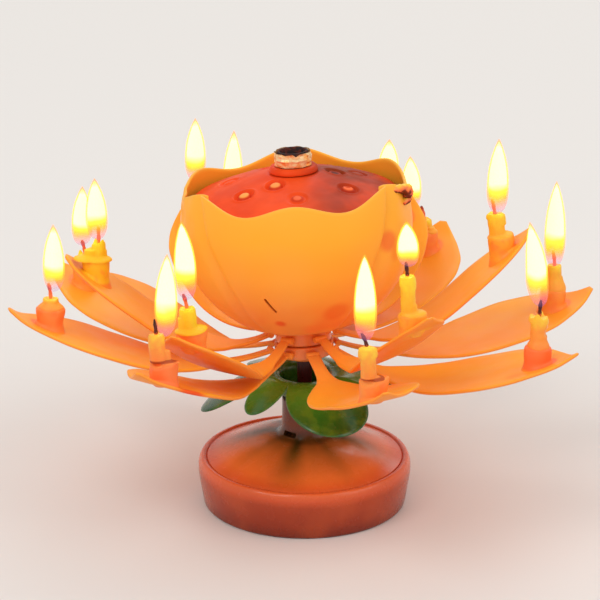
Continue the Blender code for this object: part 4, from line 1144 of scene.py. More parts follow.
@dataclass
class HeadFrame:
    """The leaning frame of the flower head."""

    pivot: float = 0.0440
    lean_back: float = -3.6
    lean_left: float = -3.3

    def matrix(self) -> Matrix:
        """Return the frame's placing."""
        lean = turned(self.lean_back, self.lean_left, 0.0)
        return Matrix.Translation((0.0, 0.0, self.pivot)) @ lean


@dataclass
class CandleLook:
    """How one candle has burnt, in millimetres and degrees; azimuth 0 faces the picture's front.

    The flame holds the height of its foot and of its tip, and its shift and its lean to the right.
    A lump holds azimuth, half angle, outward swell, and how far below the top it starts and ends.
    A lip holds azimuth, half angle, lift and outward swell of the socket's rim.
    """

    left: float
    flame: tuple[float, float, float, float]
    stick: float = 2.1
    place: tuple[float, float] = (0.0, 0.0)
    lean: float = 0.0
    skirt: tuple[float, float] = (3.4, 1.2)
    lumps: tuple[tuple[float, float, float, float, float], ...] = ()
    lips: tuple[tuple[float, float, float, float], ...] = ()
    cap: Cap = Cap.POOL
    cone: float = 0.5
    wick: tuple[float, float] = (-0.8, 0.0)
    lit: bool = True
    warmth: float = 0.4
    scorch: float = 0.0
    socket: Colour = srgb(255, 146, 64)
    seed: float = 0.0

    def lip(self, azimuth: float) -> tuple[float, float]:
        """Return the lift and the outward swell of the socket's rim, in metres."""
        lift = swell = 0.0
        for middle, half, up, out in self.lips:
            near = azimuth_gap(azimuth, middle) / half
            if near < 1.0:
                weight = (1.0 - near * near) ** 1.5
                lift += up / 1000 * weight
                swell += out / 1000 * weight
        return lift, swell


@dataclass
class PetalTier:
    """One ring of hinged petals with their sockets, candles and flames.

    Sides hold, by petal, shares of the plain width: right near the hub, right outward, left near the
    hub and left outward.
    """

    tier: Tier
    head: HeadFrame
    hinge_radius: float
    hinge_height: float
    tip_radius: float
    width: float
    candle_radius: float
    stations: Stations
    petals: Sequence[tuple[float, float, float]]
    candles: Sequence[CandleLook]
    socket_shadows: dict[int, tuple[tuple[Colour, float, float], ...]] = field(default_factory=dict)
    sides: dict[int, tuple[float, float, float, float]] = field(default_factory=dict)
    thickness: float = 0.0009
    dish_share: float = 0.04
    flat_share: float = 0.83
    knuckle: tuple[float, float] = (0.0009, 0.0036)
    socket: tuple[float, float, float] = (0.0037, 0.0060, 0.0025)
    candle_length: float = 0.0200

    def __post_init__(self) -> None:
        """Work out the reach, the candle's seat and the smooth outline."""
        self.reach = self.tip_radius - self.hinge_radius
        places = [station[0] for station in self.stations]
        self.rise = SmoothLine(places, [station[1] for station in self.stations])
        self.half = SmoothLine(places, [station[2] * self.width / 2 for station in self.stations])
        share = (self.candle_radius - self.hinge_radius) / self.reach
        self.seat = Vector((self.reach * share, 0.0, self.reach * self.straight_rise(share)))

    def straight_rise(self, along: float) -> float:
        """Return the height share between two stations on a straight line."""
        for (start, low, _), (end, high, _) in zip(self.stations, self.stations[1:]):
            if start <= along <= end:
                return low + (high - low) * (along - start) / (end - start)
        return self.stations[-1][1]

    def matrix(self, number: int) -> Matrix:
        """Return the placing of a petal, its hinge at the origin."""
        azimuth, droop, _ = self.petals[number]
        place = polar(self.hinge_radius, azimuth, self.hinge_height - self.head.pivot)
        return self.head.matrix() @ Matrix.Translation(place) @ turned(0.0, -droop, azimuth - 90.0)

    def upright(self, number: int) -> Matrix:
        """Return the seat's placing in the petal, its front turned to the picture's front."""
        turn = math.radians(90.0 - self.petals[number][0])
        return Matrix.Translation(self.seat) @ Matrix.Rotation(turn, 4, "Z")

    def surface(self, number: int, x: float, y: float) -> float:
        """Return the height of a blade's middle surface.

        Args:
            number: index of the petal in the tier.
            x: distance outward from the hinge.
            y: distance to the left of the petal's middle line.

        Returns:
            The height above the hinge.
        """
        along = min(max(x / self.reach, 0.0), 1.0)
        half = self.half.at(along)
        side = max(-1.0, min(1.0, y / half))
        full = min(1.0, 2 * half / self.width / self.flat_share)
        turn = math.radians(self.petals[number][2])
        grown = ease((along - 0.1) / 0.5) if number in self.sides else 1.0
        lift = self.dish_share * half * side * side + half * side * math.tan(turn) * grown
        return self.reach * self.rise.at(along) + lift * full

    def blade_grid(self, number: int) -> list[list[Vector]]:
        """Return the middle surface of a petal's blade."""
        grid = []
        inner_right, outer_right, inner_left, outer_left = self.sides.get(number, (1.0, 1.0, 1.0, 1.0))
        for x in spaced(0.0, self.reach, self.thickness / 2, 60):
            half = self.half.at(x / self.reach)
            out = ease((x / self.reach - 0.3) / 0.35)
            right = half * (inner_right + (outer_right - inner_right) * out)
            left = half * (inner_left + (outer_left - inner_left) * out)
            grid.append([Vector((x, y, self.surface(number, x, y)))
                         for y in spaced(-right, left, self.thickness / 2, 12)])
        return grid

    def add_socket(self, form: bmesh.types.BMesh, number: int) -> None:
        """Add a petal's candle socket, its foot following the blade and its lip melted.

        Args:
            form: the bmesh that receives it.
            number: index of the petal in the tier.
        """
        outer, tall, bore = self.socket
        look = self.candles[number]
        turn = 90.0 - self.petals[number][0]

        def melt(azimuth: float, r: float, z: float) -> tuple[float, float]:
            angle = math.radians(azimuth)
            spot = Vector((math.cos(angle) * 1.4, math.sin(angle) * 1.4, z * 200.0 + look.seed))
            wobble = noise.noise(spot) * 0.0004
            lift, swell = look.lip(azimuth)
            high = ease(z / tall)
            seen = 1.0 if r > bore + 0.0001 else 0.0
            at = polar(r, azimuth + turn, 0.0)
            foot = self.surface(number, self.seat.x + at.x, at.y) - self.seat.z
            down = foot * (1.0 - ease(z / 0.0035)) if seen else 0.0
            wider = wobble * high + swell * ease((z - 0.0020) / 0.0030)
            return r + wider * seen, z + lift * high + down

        add_lathe(form, rounded([
            (0.0, 0.0008, 0.0), (bore, 0.0008, 0.0), (bore, tall * 0.5, 0.0), (bore, tall, 0.0004),
            (outer - 0.0001, tall, 0.0007), (outer, tall * 0.66, 0.0010),
            (outer - 0.0001, 0.0016, 0.0008), (outer + 0.0007, 0.0003, 0.0004),
            (outer + 0.0006, 0.0, 0.0), (bore, 0.0, 0.0), (0.0, 0.0, 0.0),
        ], 4), 48, move=self.upright(number), shift=melt)

    def build_petal(self, number: int) -> bpy.types.Object:
        """Make one petal with its knuckle and socket.

        Args:
            number: index of the petal in the tier.

        Returns:
            The petal's object.
        """
        name = f"{self.tier.value}_petal_{number + 1}"
        form = bmesh.new()
        add_sheet(form, self.blade_grid(number), self.thickness)
        radius, length = self.knuckle
        lying = Matrix.Rotation(math.pi / 2, 4, "X")
        add_lathe(form, rounded([
            (0.0, -length / 2, 0.0), (radius, -length / 2, 0.0002), (radius, length / 2, 0.0002),
            (0.0, length / 2, 0.0)], 3), 24, move=lying)
        self.add_socket(form, number)
        finish = PetalPlastic(f"{name}_finish", self.reach, tuple(self.seat),
                              self.candles[number].socket, self.socket_shadows.get(number, ()))
        petal = place_object(f"blade_{name}", new_mesh(name, form, 50.0), finish, self.matrix(number))
        stand_in(petal, name, name)
        return petal

    def build_candle(self, number: int) -> None:
        """Make the wax, wick and flame of one petal."""
        look = self.candles[number]
        name = f"{self.tier.value}_{number + 1}"
        place = self.matrix(number) @ self.upright(number)
        wax = Wax(look, self.socket[1], self.candle_length * look.left)
        body = f"{self.tier.value}_petal_{number + 1}"
        finish = WaxFinish(f"wax_{name}_finish", wax.rim, wax.top, look.warmth, look.scorch / 1000)
        stick = place_object(f"wax_{name}", wax.mesh(f"wax_{name}"), finish, place)
        stand_in(stick, body, f"{self.tier.value}_candle_{number + 1}")
        finish = WickFinish("wick_lit" if look.lit else "wick_charred", look.lit)
        wick = place_object(f"wick_{name}", wax.wick(f"wick_{name}"), finish, place)
        stand_in(wick, body)
        self.build_flame(number, place @ wax.wick_tip())

    def build_flame(self, number: int, tip: Vector) -> None:
        """Make the flame and its glow at a wick's tip.

        Args:
            number: index of the petal in the tier.
            tip: the wick's tip in the row frame.
        """
        foot, top, aside, lean = (value / 1000 for value in self.candles[number].flame)
        name = f"{self.tier.value}_{number + 1}"
        body = f"{self.tier.value}_petal_{number + 1}"
        middle = Vector((tip.x + aside, tip.y, 0.0))
        layers = (("flame", FLAME_CORE, 0.00255, 0.0008), ("glow", FLAME_GLOW, 0.0030, 0.0))
        for kind, finish, wide, trim in layers:
            low, high = foot + trim, top - trim
            mesh = self.flame_mesh(f"{kind}_{name}", middle, lean, wide, low, high)
            piece = place_object(f"{kind}_{name}", mesh, finish)
            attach(piece, body)
            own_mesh(piece)

    def flame_mesh(self, name: str, middle: Vector, lean: float, wide: float, low: float,
                   high: float) -> bpy.types.Mesh:
        """Return a drop-shaped flame.

        Args:
            name: the mesh's name.
            middle: where its middle is, seen from above.
            lean: how far its tip is to the right of its foot.
            wide: its greatest radius.
            low: height of its foot.
            high: height of its tip.

        Returns:
            The flame's mesh.
        """
        form = bmesh.new()
        rings, steps = 30, 20
        loops = []
        for ring in range(rings + 1):
            up = ring / rings
            radius = wide * FLAME_WIDTH.at(up)
            x = middle.x + lean * (up - 0.4) * abs(up - 0.4) ** 0.4
            height = low + (high - low) * up
            if ring in (0, rings):
                loops.append([form.verts.new((x, middle.y, height))])
                continue
            turns = [2 * math.pi * step / steps for step in range(steps)]
            loops.append([form.verts.new((x + radius * math.cos(turn),
                                          middle.y + radius * math.sin(turn), height)) for turn in turns])
        bridge(form, loops, steps)
        return new_mesh(name, form, 180.0)

    def build(self) -> None:
        """Make every petal of the tier with its candle."""
        for number in range(len(self.petals)):
            self.build_petal(number)
            self.build_candle(number)


class Wax:
    """One candle's wax, its own origin at the seat in the socket."""

    def __init__(self, look: CandleLook, rim: float, top: float) -> None:
        """Keep the look, the socket's rim height and the wax's top height."""
        self.look = look
        self.rim = rim
        self.top = top

    def radius(self, azimuth: float, height: float) -> float:
        """Return the wax's radius at an azimuth and height."""
        look = self.look
        base = look.stick / 1000
        wide, tall = (value / 1000 for value in look.skirt)
        lift, swell = look.lip(azimuth)
        skirt = 1.0 - ease((height - self.rim - lift) / tall)
        radius = base + (wide + swell - base) * skirt
        turn = math.radians(azimuth)
        spot = Vector((math.cos(turn) * 1.3, math.sin(turn) * 1.3, height * 320.0 + look.seed))
        radius *= 1.0 + 0.08 * noise.noise(spot) + 0.03 * noise.noise(spot * 2.7)
        depth = (self.top - height) * 1000
        for middle, half, out, start, end in look.lumps:
            near = azimuth_gap(azimuth, middle) / half
            if near < 1.0:
                band = ease((depth - start + 0.5) / 0.5) * (1.0 - ease((depth - end) / 0.5))
                radius += out / 1000 * (1.0 - near * near) ** 1.2 * band
        return radius

    def cap_height(self, azimuth: float, share: float) -> float:
        """Return the height of the melted top at a share of its radius."""
        turn = math.radians(azimuth)
        rough = noise.noise(Vector((math.cos(turn) * 1.1, math.sin(turn) * 1.1, self.look.seed * 3.1)))
        cone = self.look.cone / 1000 * max(0.0, 1.0 - share / 0.45) ** 1.5
        if self.look.cap is Cap.BLOB:
            return self.top + cone + 0.0005 * (1.0 - share * share) + 0.0004 * rough * share
        if self.look.cap is Cap.JAGGED:
            peak = max(0.0, math.sin(turn * 2 + self.look.seed)) ** 2
            return self.top + cone - 0.0007 + (0.0014 * peak + 0.0008 * rough) * share ** 2
        return self.top + cone - 0.0003 * (1.0 - share ** 3) + 0.0004 * rough * share

    def centre(self, height: float) -> Vector:
        """Return the stick's sideways place at a height."""
        share = ease((height - self.rim) / (self.look.skirt[1] / 1000))
        climb = max(0.0, (height - self.rim) / (self.top - self.rim))
        right, away = self.look.place
        return Vector((right * share + self.look.lean * climb, away * share, 0.0)) / 1000

    def mesh(self, name: str) -> bpy.types.Mesh:
        """Return the wax's mesh."""
        form = bmesh.new()
        steps, count, bore, floor = 48, 30, 0.00235, 0.0011
        turns = [360.0 * step / steps for step in range(steps)]
        rows: list[list] = [[form.verts.new((0.0, 0.0, floor))]]
        rows.append([form.verts.new(polar(bore, turn, floor)) for turn in turns])
        rows.append([form.verts.new(polar(bore, turn, self.rim - 0.0006 + self.look.lip(turn)[0]))
                     for turn in turns])
        for row in range(count + 1):
            share = row / count
            ring = []
            for turn in turns:
                low = self.rim - 0.0003 + self.look.lip(turn)[0]
                height = low + (self.top - low) * share
                tall = height + (self.cap_height(turn, 1.0) - self.top) * share ** 2
                radius = self.radius(turn, height) * (1.0 - 0.12 * share ** 12)
                ring.append(form.verts.new(polar(radius, turn, tall) + self.centre(height)))
            rows.append(ring)
        middle = self.centre(self.top)
        for share in (0.9, 0.74, 0.56, 0.4, 0.26, 0.12):
            rows.append([form.verts.new(polar(self.radius(turn, self.top) * share * 0.88, turn,
                                              self.cap_height(turn, share)) + middle) for turn in turns])
        rows.append([form.verts.new(middle + Vector((0.0, 0.0, self.cap_height(0.0, 0.0))))])
        bridge(form, rows, steps)
        return new_mesh(name, form, 70.0)

    def wick_path(self) -> list[Vector]:
        """Return the wick's middle line, from inside the wax to its tip."""
        foot = self.centre(self.top)
        curl = Vector((self.look.wick[0] / 1000, self.look.wick[1] / 1000, 0.0))
        path = []
        for step in range(9):
            share = step / 8
            height = self.top - 0.0015 + 0.0056 * share
            path.append(foot + curl * share ** 2.2 + Vector((0.0, 0.0, height)))
        return path

    def wick(self, name: str) -> bpy.types.Mesh:
        """Return the charred wick's mesh."""
        form = bmesh.new()
        radii = [0.0005 * (1.0 + 0.18 * math.sin(step * 2.1 + self.look.seed)) for step in range(8)]
        add_tube(form, self.wick_path(), [*radii, 0.0003])
        return new_mesh(name, form)

    def wick_tip(self) -> Vector:
        """Return the wick's tip."""
        return self.wick_path()[-1]


@dataclass
class Cup:
    """Three broad upright petals that form the goblet, the front one overlapping its neighbours."""

    head: HeadFrame
    radius: float = 0.0316
    foot: float = 0.0536
    height: float = 0.0414
    wall: float = 0.0009
    gap: float = 0.0005
    dip: float = 0.0034
    corner: float = 0.0010
    tuck: float = 0.0013
    overlap: float = 0.0016
    stations: Stations = (
        (0.171, 0.000, 0.0), (0.400, 0.010, 0.0), (0.500, 0.032, 0.0), (0.665, 0.118, 0.0),
        (0.800, 0.222, 0.0), (0.905, 0.345, 0.0), (0.972, 0.505, 0.0), (1.000, 0.715, 0.0),
        (0.985, 0.860, 0.0), (0.962, 1.000, 0.0))
    seams: tuple[tuple[float, float], ...] = (
        (0.0, 34.0), (0.25, 35.0), (0.50, 41.0), (0.75, 50.0), (1.0, 56.0))
    slit: Colour = (0.0053, 0.0064, 0.0007)
    slit_place: tuple[float, float, float] = (0.877, -16.0, 0.320)
    slit_lean: float = 62.0
    marks: tuple[tuple[Colour, float, float], ...] = (
        ((-0.0054, -0.0225, 0.0167), 0.0022, 0.8), ((0.0099, -0.0244, 0.0190), 0.0050, 0.45),
        ((0.0249, -0.0191, 0.0369), 0.0040, 0.6), ((0.0270, -0.0165, 0.0330), 0.0035, 0.3))

    def __post_init__(self) -> None:
        """Work out the smooth wall line and seam line."""
        lengths = [0.0]
        for (r1, h1, _), (r2, h2, _) in zip(self.stations, self.stations[1:]):
            lengths.append(lengths[-1] + math.hypot((r2 - r1) * self.radius, (h2 - h1) * self.height))
        self.length = lengths[-1]
        self.wide = SmoothLine(lengths, [station[0] for station in self.stations])
        self.tall = SmoothLine(lengths, [station[1] for station in self.stations])
        self.seam = SmoothLine([place for place, _ in self.seams], [turn for _, turn in self.seams])

    def crumple(self, azimuth: float, share: float) -> float:
        """Return how far the heat has buckled the wall beside the left seam."""
        near = max(0.0, 1.0 - (azimuth_gap(azimuth, -80.0) / 22.0) ** 2) * ease((share - 0.68) / 0.2)
        angle = math.radians(azimuth)
        spot = Vector((math.cos(angle) * 9.0, math.sin(angle) * 9.0, share * 7.0))
        return 0.0011 * noise.noise(spot) * near

    def grid(self, number: int) -> list[list[Vector]]:
        """Return the middle surface of one cup petal.

        Args:
            number: 1 for the front petal, 2 for the right one and 3 for the left one.

        Returns:
            Its points by row and column.
        """
        foot = self.foot - self.head.pivot
        grid = []
        for along in spaced(0.0, self.length, self.wall / 2, 60):
            radius = self.radius * self.wide.at(along)
            share = self.tall.at(along)
            seam = self.seam.at(share)
            gap = math.degrees(self.gap / radius)
            lap = math.degrees(self.overlap / radius)
            first, last = ((-seam, seam), (seam, 180.0), (180.0, 360.0 - seam))[number - 1]
            spans = ((first + gap, last - gap), (first - lap, last - gap), (first + gap, last + lap))
            start, end = spans[number - 1]
            line = []
            for place in spaced(0.0, math.radians(end - start) * radius, self.wall / 2, 44):
                azimuth = start + math.degrees(place / radius)
                side = max(-1.0, min(1.0, 2 * (azimuth - first) / (last - first) - 1.0))
                wave = -self.dip * math.sin(abs(side) * math.pi) ** 2 + self.corner * side * side
                near = 1.0 if number == 1 else azimuth_gap(azimuth, 0.0) - seam
                inset = 0.0 if number == 1 else self.tuck * (1.0 - ease(near / 9.0))
                line.append(polar(radius - inset + self.crumple(azimuth, share), azimuth,
                                  foot + self.height * share + wave * share ** 3))
            grid.append(line)
        return grid

    def build(self) -> None:
        """Make the three petals and cut the front one's slit."""
        for number in (1, 2, 3):
            form = bmesh.new()
            add_sheet(form, self.grid(number), self.wall)
            name = f"goblet_petal_{number}"
            finish = CupPlastic("cup_finish", marks=self.marks)
            petal = place_object(name, new_mesh(name, form, 50.0), finish, self.head.matrix())
            if number == 1:
                share, azimuth, height = self.slit_place
                level = self.foot - self.head.pivot + self.height * height
                place = polar(self.radius * share, azimuth, level)
                turn = turned(0.0, self.slit_lean, azimuth)
                cut_box(petal, self.slit, self.head.matrix() @ Matrix.Translation(place) @ turn)
            stand_in(petal, "flower_head", f"cup_petal_{number}")


@dataclass
class MeltedCorner:
    """Corner of a cup petal that a candle has melted, hanging beside the right seam."""

    head: HeadFrame
    path: tuple[tuple[float, float, float], ...] = (
        (0.0300, 62.0, 0.0500), (0.0316, 68.0, 0.0494), (0.0322, 73.0, 0.0480), (0.0320, 74.0, 0.0462),
        (0.0314, 70.0, 0.0448))
    radii: tuple[float, ...] = (0.0007, 0.0013, 0.0017, 0.0014, 0.0006)

    def build(self) -> None:
        """Make the lumpy corner along its path."""
        places = list(range(len(self.path)))
        lines = [SmoothLine(places, [point[axis] for point in self.path]) for axis in range(3)]
        thick = SmoothLine(places, self.radii)
        count = 30
        steps = [(len(self.path) - 1) * step / count for step in range(count + 1)]
        points = [polar(*(line.at(step) for line in lines)) for step in steps]
        form = bmesh.new()
        add_tube(form, points, [thick.at(step) for step in steps], 20)
        form.normal_update()
        for vert in form.verts:
            vert.co += vert.normal * (noise.noise(vert.co * 900.0) * 0.0005)
        mesh = new_mesh("melted_corner", form, 70.0)
        lump = place_object("melted_corner", mesh, MeltedFinish("melted_finish"), self.head.matrix())
        stand_in(lump, "flower_head")


@dataclass
class SeedHead:
    """Coral dome with its ringed pits."""

    head: HeadFrame
    radius: float = 0.0284
    edge: float = 0.0900
    rise: float = 0.0068
    top_radius: float = 0.0078
    curve: float = 0.78
    skin: float = 0.0030
    bore: float = 0.0046
    stem: float = 0.0046
    stem_foot: float = 0.05315
    pit_radius: float = 0.0030
    pit_depth: float = 0.0008
    pits: tuple[tuple[float, float, float, float], ...] = (
        (0.0182, -48.4, 1.2, 0.9), (0.0182, 3.0, 0.5, 0.9), (0.0182, 54.4, 0.9, 1.1),
        (0.0182, 105.9, 0.7, 0.3), (0.0182, 157.3, 0.8, 0.4), (0.0182, -151.3, 0.8, 0.4),
        (0.0182, -99.9, 0.7, 0.4),
        (0.0114, -26.0, 1.1, 0.9), (0.0114, 94.0, 1.2, -1.3), (0.0114, -146.0, 0.8, 0.4))
    hole: tuple[float, float] = (0.0178, 55.6)
    tints: dict[int, tuple[float, Colour]] = field(default_factory=lambda: {
        0: (0.0015, srgb(255, 166, 78)), 1: (0.0012, srgb(244, 104, 60)),
        2: (0.0015, srgb(255, 112, 62)),
        # Pit 8 is a hollow, and its dark tint is painted shade.
        7: (0.0015, srgb(255, 156, 80)), 8: (0.0013, srgb(96, 30, 16))})

    def dome(self, radius: float) -> float:
        """Return the dome's height at a radius."""
        share = (radius - self.top_radius) / (self.radius - self.top_radius)
        share = min(1.0, max(0.0, share))
        return self.edge + self.rise * (1.0 - share) ** self.curve - self.head.pivot

    def relief(self, spot: Vector) -> float:
        """Return how far the pits sink or lift the dome at a spot."""
        total = 0.0
        for ring, azimuth, moat, nub in self.pits:
            away = (spot - polar(ring, azimuth, 0.0)).length / self.pit_radius
            if away < 1.6:
                rim = math.exp(-((away - 1.02) / 0.16) ** 2)
                groove = math.exp(-((away - 0.74) / 0.17) ** 2)
                top = math.exp(-(away / 0.46) ** 4)
                total += self.pit_depth * (0.3 * moat * rim - moat * groove + 0.45 * nub * top)
        hole = (spot - polar(*self.hole, 0.0)).length / 0.0007
        return total - 0.0012 * math.exp(-hole ** 4)

    def build(self) -> None:
        """Make the dome, its skirt and stem."""
        lean = self.head.pivot
        form = bmesh.new()
        rings = [self.bore + (self.radius - self.bore) * step / 100 for step in range(101)]
        line = [(radius, self.dome(radius)) for radius in rings]
        under = self.edge - self.skin - lean
        line += [(self.radius + 0.0001, self.edge - 0.0005 - lean), (self.radius, under + 0.0014),
                 (self.radius - 0.0010, under), (self.bore + 0.0045, under),
                 (self.bore + 0.0015, under - self.skin), (self.stem, under - 0.008),
                 (self.stem, self.stem_foot - lean), (0.0, self.stem_foot - lean)]
        floor = self.edge + self.rise - 0.0100 - lean
        line = [(0.0, floor), (self.bore, floor)] + line

        def pitted(azimuth: float, radius: float, height: float) -> tuple[float, float]:
            on_top = height > self.edge - 0.0006 - lean
            if on_top and self.bore + 0.0002 < radius < self.radius - 0.0004:
                return radius, height + self.relief(polar(radius, azimuth, 0.0))
            return radius, height

        add_lathe(form, line, 300, shift=pitted)
        nubs = []
        for number, (reach, tint) in self.tints.items():
            ring, azimuth = self.pits[number][:2]
            nubs.append((tuple(polar(ring, azimuth, self.dome(ring))), reach, tint))
        # Painted shade deep in the hole.
        deep = polar(*self.hole, self.dome(self.hole[0]) - 0.0006)
        nubs.append((tuple(deep), 0.0006, srgb(60, 14, 8)))
        mesh = new_mesh("seed_dome", form, 60.0)
        finish = SeedPlastic("seed_finish", tuple(nubs))
        head = place_object("seed_dome", mesh, finish, self.head.matrix())
        stand_in(head, "flower_head", "seed_head")


@dataclass
class Sparkler:
    """Tube in the middle of the seed head with its collar and crinkled foil."""

    head: HeadFrame
    seed_top: float = 0.0968
    radius: float = 0.0043
    wall: float = 0.0008
    top: float = 0.1022
    depth: float = 0.0097
    collar_radius: float = 0.0069
    collar_height: float = 0.0016
    foil_top: float = 0.1030

    def build(self) -> None:
        """Make the collar, tube and foil."""
        lean = self.head.pivot
        low = self.seed_top + 0.0003 - lean
        form = bmesh.new()
        add_lathe(form, rounded([
            (self.radius + 0.0003, low, 0.0), (self.radius + 0.0003, low + self.collar_height, 0.0003),
            (self.collar_radius - 0.0006, low + self.collar_height, 0.0006),
            (self.collar_radius, low + 0.0005, 0.0006), (self.collar_radius - 0.0001, low, 0.0002)], 4),
            72, closed=True)
        mesh = new_mesh("sparkler_collar", form)
        collar = place_object("sparkler_collar", mesh, SeedPlastic("collar_finish"), self.head.matrix())
        stand_in(collar, "flower_head", "tube_collar")
        form = bmesh.new()
        inner = self.radius - self.wall
        bottom = self.seed_top - self.depth - lean
        top = self.foil_top - 0.0002 - lean
        line = [(inner, top - 0.0003), (inner + 0.0002, top), (self.radius - 0.0002, top),
                (self.radius, top - 0.0003), (self.radius, bottom), (inner, bottom)]
        add_lathe(form, line, 72, closed=True)
        burnt = Char("burnt_paper", srgb(110, 40, 22), srgb(34, 8, 6), 900.0)
        mesh = new_mesh("sparkler_paper_tube", form)
        tube = place_object("sparkler_paper_tube", mesh, burnt, self.head.matrix())
        stand_in(tube, "flower_head", "sparkler_tube")
        self.build_foil(low + self.collar_height + 0.0002)

    def build_foil(self, low: float) -> None:
        """Make the crinkled foil round the tube, in flat facets with a torn top edge."""
        columns, rows = 30, 6
        grid = []
        for row in range(rows + 1):
            up = row / rows
            line = []
            for column in range(columns):
                wander = 0.3 * noise.noise(Vector((column * 1.7, row * 2.3, 1.0)))
                azimuth = 360.0 * (column + wander) / columns
                crinkle = 0.0004 + 0.0007 * abs(noise.noise(Vector((column * 0.9, row * 0.8, 5.0))))
                torn = 0.0010 * max(0.0, noise.noise(Vector((column * 0.55, 3.0, 9.0)))) * up ** 2
                line.append(polar(self.radius + 0.0002 + crinkle, azimuth,
                                  low + (self.foil_top - 0.0003 - self.head.pivot - low) * up - torn))
            grid.append(line)
        form = bmesh.new()
        add_sheet(form, grid, 0.0002, wrap=True)
        mesh = new_mesh("sparkler_foil", form, 4.0)
        foil = place_object("sparkler_foil", mesh, FoilFinish("foil_finish"), self.head.matrix())
        stand_in(foil, "flower_head", "foil_wrap")


@dataclass
class Hubs:
    """Two stacked hubs that carry the petals' hinges."""

    head: HeadFrame
    shaft_top: float = 0.0464
    lower_radius: float = 0.0083
    upper_radius: float = 0.0078
    stem_radius: float = 0.0034
    bore: float = 0.0026
    lower_top: float = 0.0481
    lower_bottom: float = 0.0445
    stem_bottom: float = 0.0426
    upper_top: float = 0.05285
    gap: float = 0.0003

    def build(self) -> None:
        """Turn both hubs."""
        lean = self.head.pivot
        top, bottom, foot = self.lower_top - lean, self.lower_bottom - lean, self.stem_bottom - lean
        roof = self.shaft_top + self.gap - lean
        lower = [(0.0, top, 0.0), (self.lower_radius, top, 0.0004), (self.lower_radius, bottom, 0.0004),
                 (self.stem_radius, bottom, 0.0006), (self.stem_radius, foot, 0.0003),
                 (self.bore, foot, 0.0), (self.bore, roof, 0.0), (0.0, roof, 0.0)]
        low, high = top + self.gap, self.upper_top - lean
        upper = [(0.0, high, 0.0), (self.upper_radius, high, 0.0004),
                 (self.upper_radius, low, 0.0004), (0.0, low, 0.0)]
        finish = Moulded("hub_finish", srgb(246, 140, 62), srgb(236, 122, 54), 0.3)
        hubs = (("hub_lower", "lower_hub", lower), ("hub_upper", "upper_hub", upper))
        for name, node, profile in hubs:
            form = bmesh.new()
            add_lathe(form, rounded(profile), 72)
            hub = place_object(name, new_mesh(name, form), finish, self.head.matrix())
            stand_in(hub, "flower_head", node)


GEAR = Moulded("gear_finish", srgb(224, 220, 208), srgb(212, 206, 192), 0.42)
BRASS = Metal("brass_finish", srgb(214, 176, 96), srgb(176, 138, 70), 0.32)
STEEL = Metal("steel_finish", srgb(196, 196, 200), srgb(150, 150, 156), 0.3)
CONTACT = Metal("contact_finish", srgb(200, 190, 160), srgb(150, 140, 116), 0.35)


@dataclass
class Works:
    """Pieces inside and under the base that keep their CAD shapes."""

    finishes: dict[str, Finish] = field(default_factory=lambda: {
        "base_cover": Moulded("cover_finish", srgb(120, 52, 30), srgb(106, 44, 26), 0.5, 120.0, 900.0,
                              0.00008),
        "switch_slider": Moulded("slider_finish", srgb(44, 26, 20), srgb(34, 20, 16), 0.45),
        "flower_shaft": Moulded("shaft_finish", srgb(84, 16, 12), srgb(64, 12, 10), 0.32),
        "shaft_bush": Moulded("bush_finish", srgb(206, 160, 120), srgb(190, 142, 104), 0.4),
        "main_gear": GEAR,
        "reduction_gear": GEAR,
        "motor_pinion": BRASS,
        "reduction_axle": STEEL,
        "drive_motor": STEEL,
        "circuit_board": Board("board_finish"),
        "piezo_buzzer": BRASS,
        "button_cell": Metal("cell_finish", srgb(206, 208, 212), srgb(168, 170, 176), 0.22),
        "battery_plate": CONTACT,
        "battery_contact": CONTACT,
        "cover_screw": Metal("screw_finish", srgb(150, 150, 152), srgb(104, 100, 98), 0.36),
        "sparkler_charge": Char("charge_finish", srgb(70, 34, 22), srgb(22, 8, 6), 1500.0),
    })

    def build(self) -> None:
        """Give each kept CAD node its finish."""
        for name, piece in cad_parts.items():
            for kind, finish in self.finishes.items():
                if name == kind or name.rsplit("_", 1)[0] == kind:
                    piece.data.materials.clear()
                    piece.data.materials.append(finish.material())
                    LOG.info("%s: kept, %s", name, finish.name)


HEAD = HeadFrame()
FLAME_WIDTH = SmoothLine((0.0, 0.05, 0.12, 0.2, 0.32, 0.45, 0.6, 0.75, 0.88, 0.96, 1.0),
                         (0.0, 0.50, 0.78, 0.92, 1.0, 0.98, 0.88, 0.67, 0.38, 0.15, 0.0))
FLAME_CORE = Flame("flame_core", (
    (0.10, srgb(255, 140, 70), 0.0), (0.17, srgb(250, 150, 50), 0.3), (0.25, srgb(250, 186, 44), 0.85),
    (0.32, srgb(252, 214, 70), 1.0), (0.42, srgb(255, 253, 236), 1.0), (0.92, srgb(255, 253, 236), 1.0),
    (1.0, srgb(255, 222, 120), 1.0)), 1.3)
FLAME_GLOW = Flame("flame_glow", (
    (0.0, srgb(130, 96, 180), 0.10), (0.10, srgb(190, 110, 130), 0.26),
    (0.22, srgb(255, 150, 60), 0.40), (0.40, srgb(255, 190, 70), 0.50),
    (0.85, srgb(255, 184, 66), 0.50), (1.0, srgb(255, 140, 44), 0.35)), 1.0)
LOWER_STATIONS: Stations = (
    (0.000, 0.000, 0.12), (0.070, -0.020, 0.12), (0.140, -0.034, 0.14), (0.200, -0.042, 0.22),
    (0.270, -0.042, 0.42), (0.400, -0.030, 0.74), (0.540, 0.004, 1.00), (0.680, 0.050, 1.08),
    (0.790, 0.086, 0.95), (0.880, 0.118, 0.66), (0.950, 0.148, 0.35), (1.000, 0.186, 0.07))
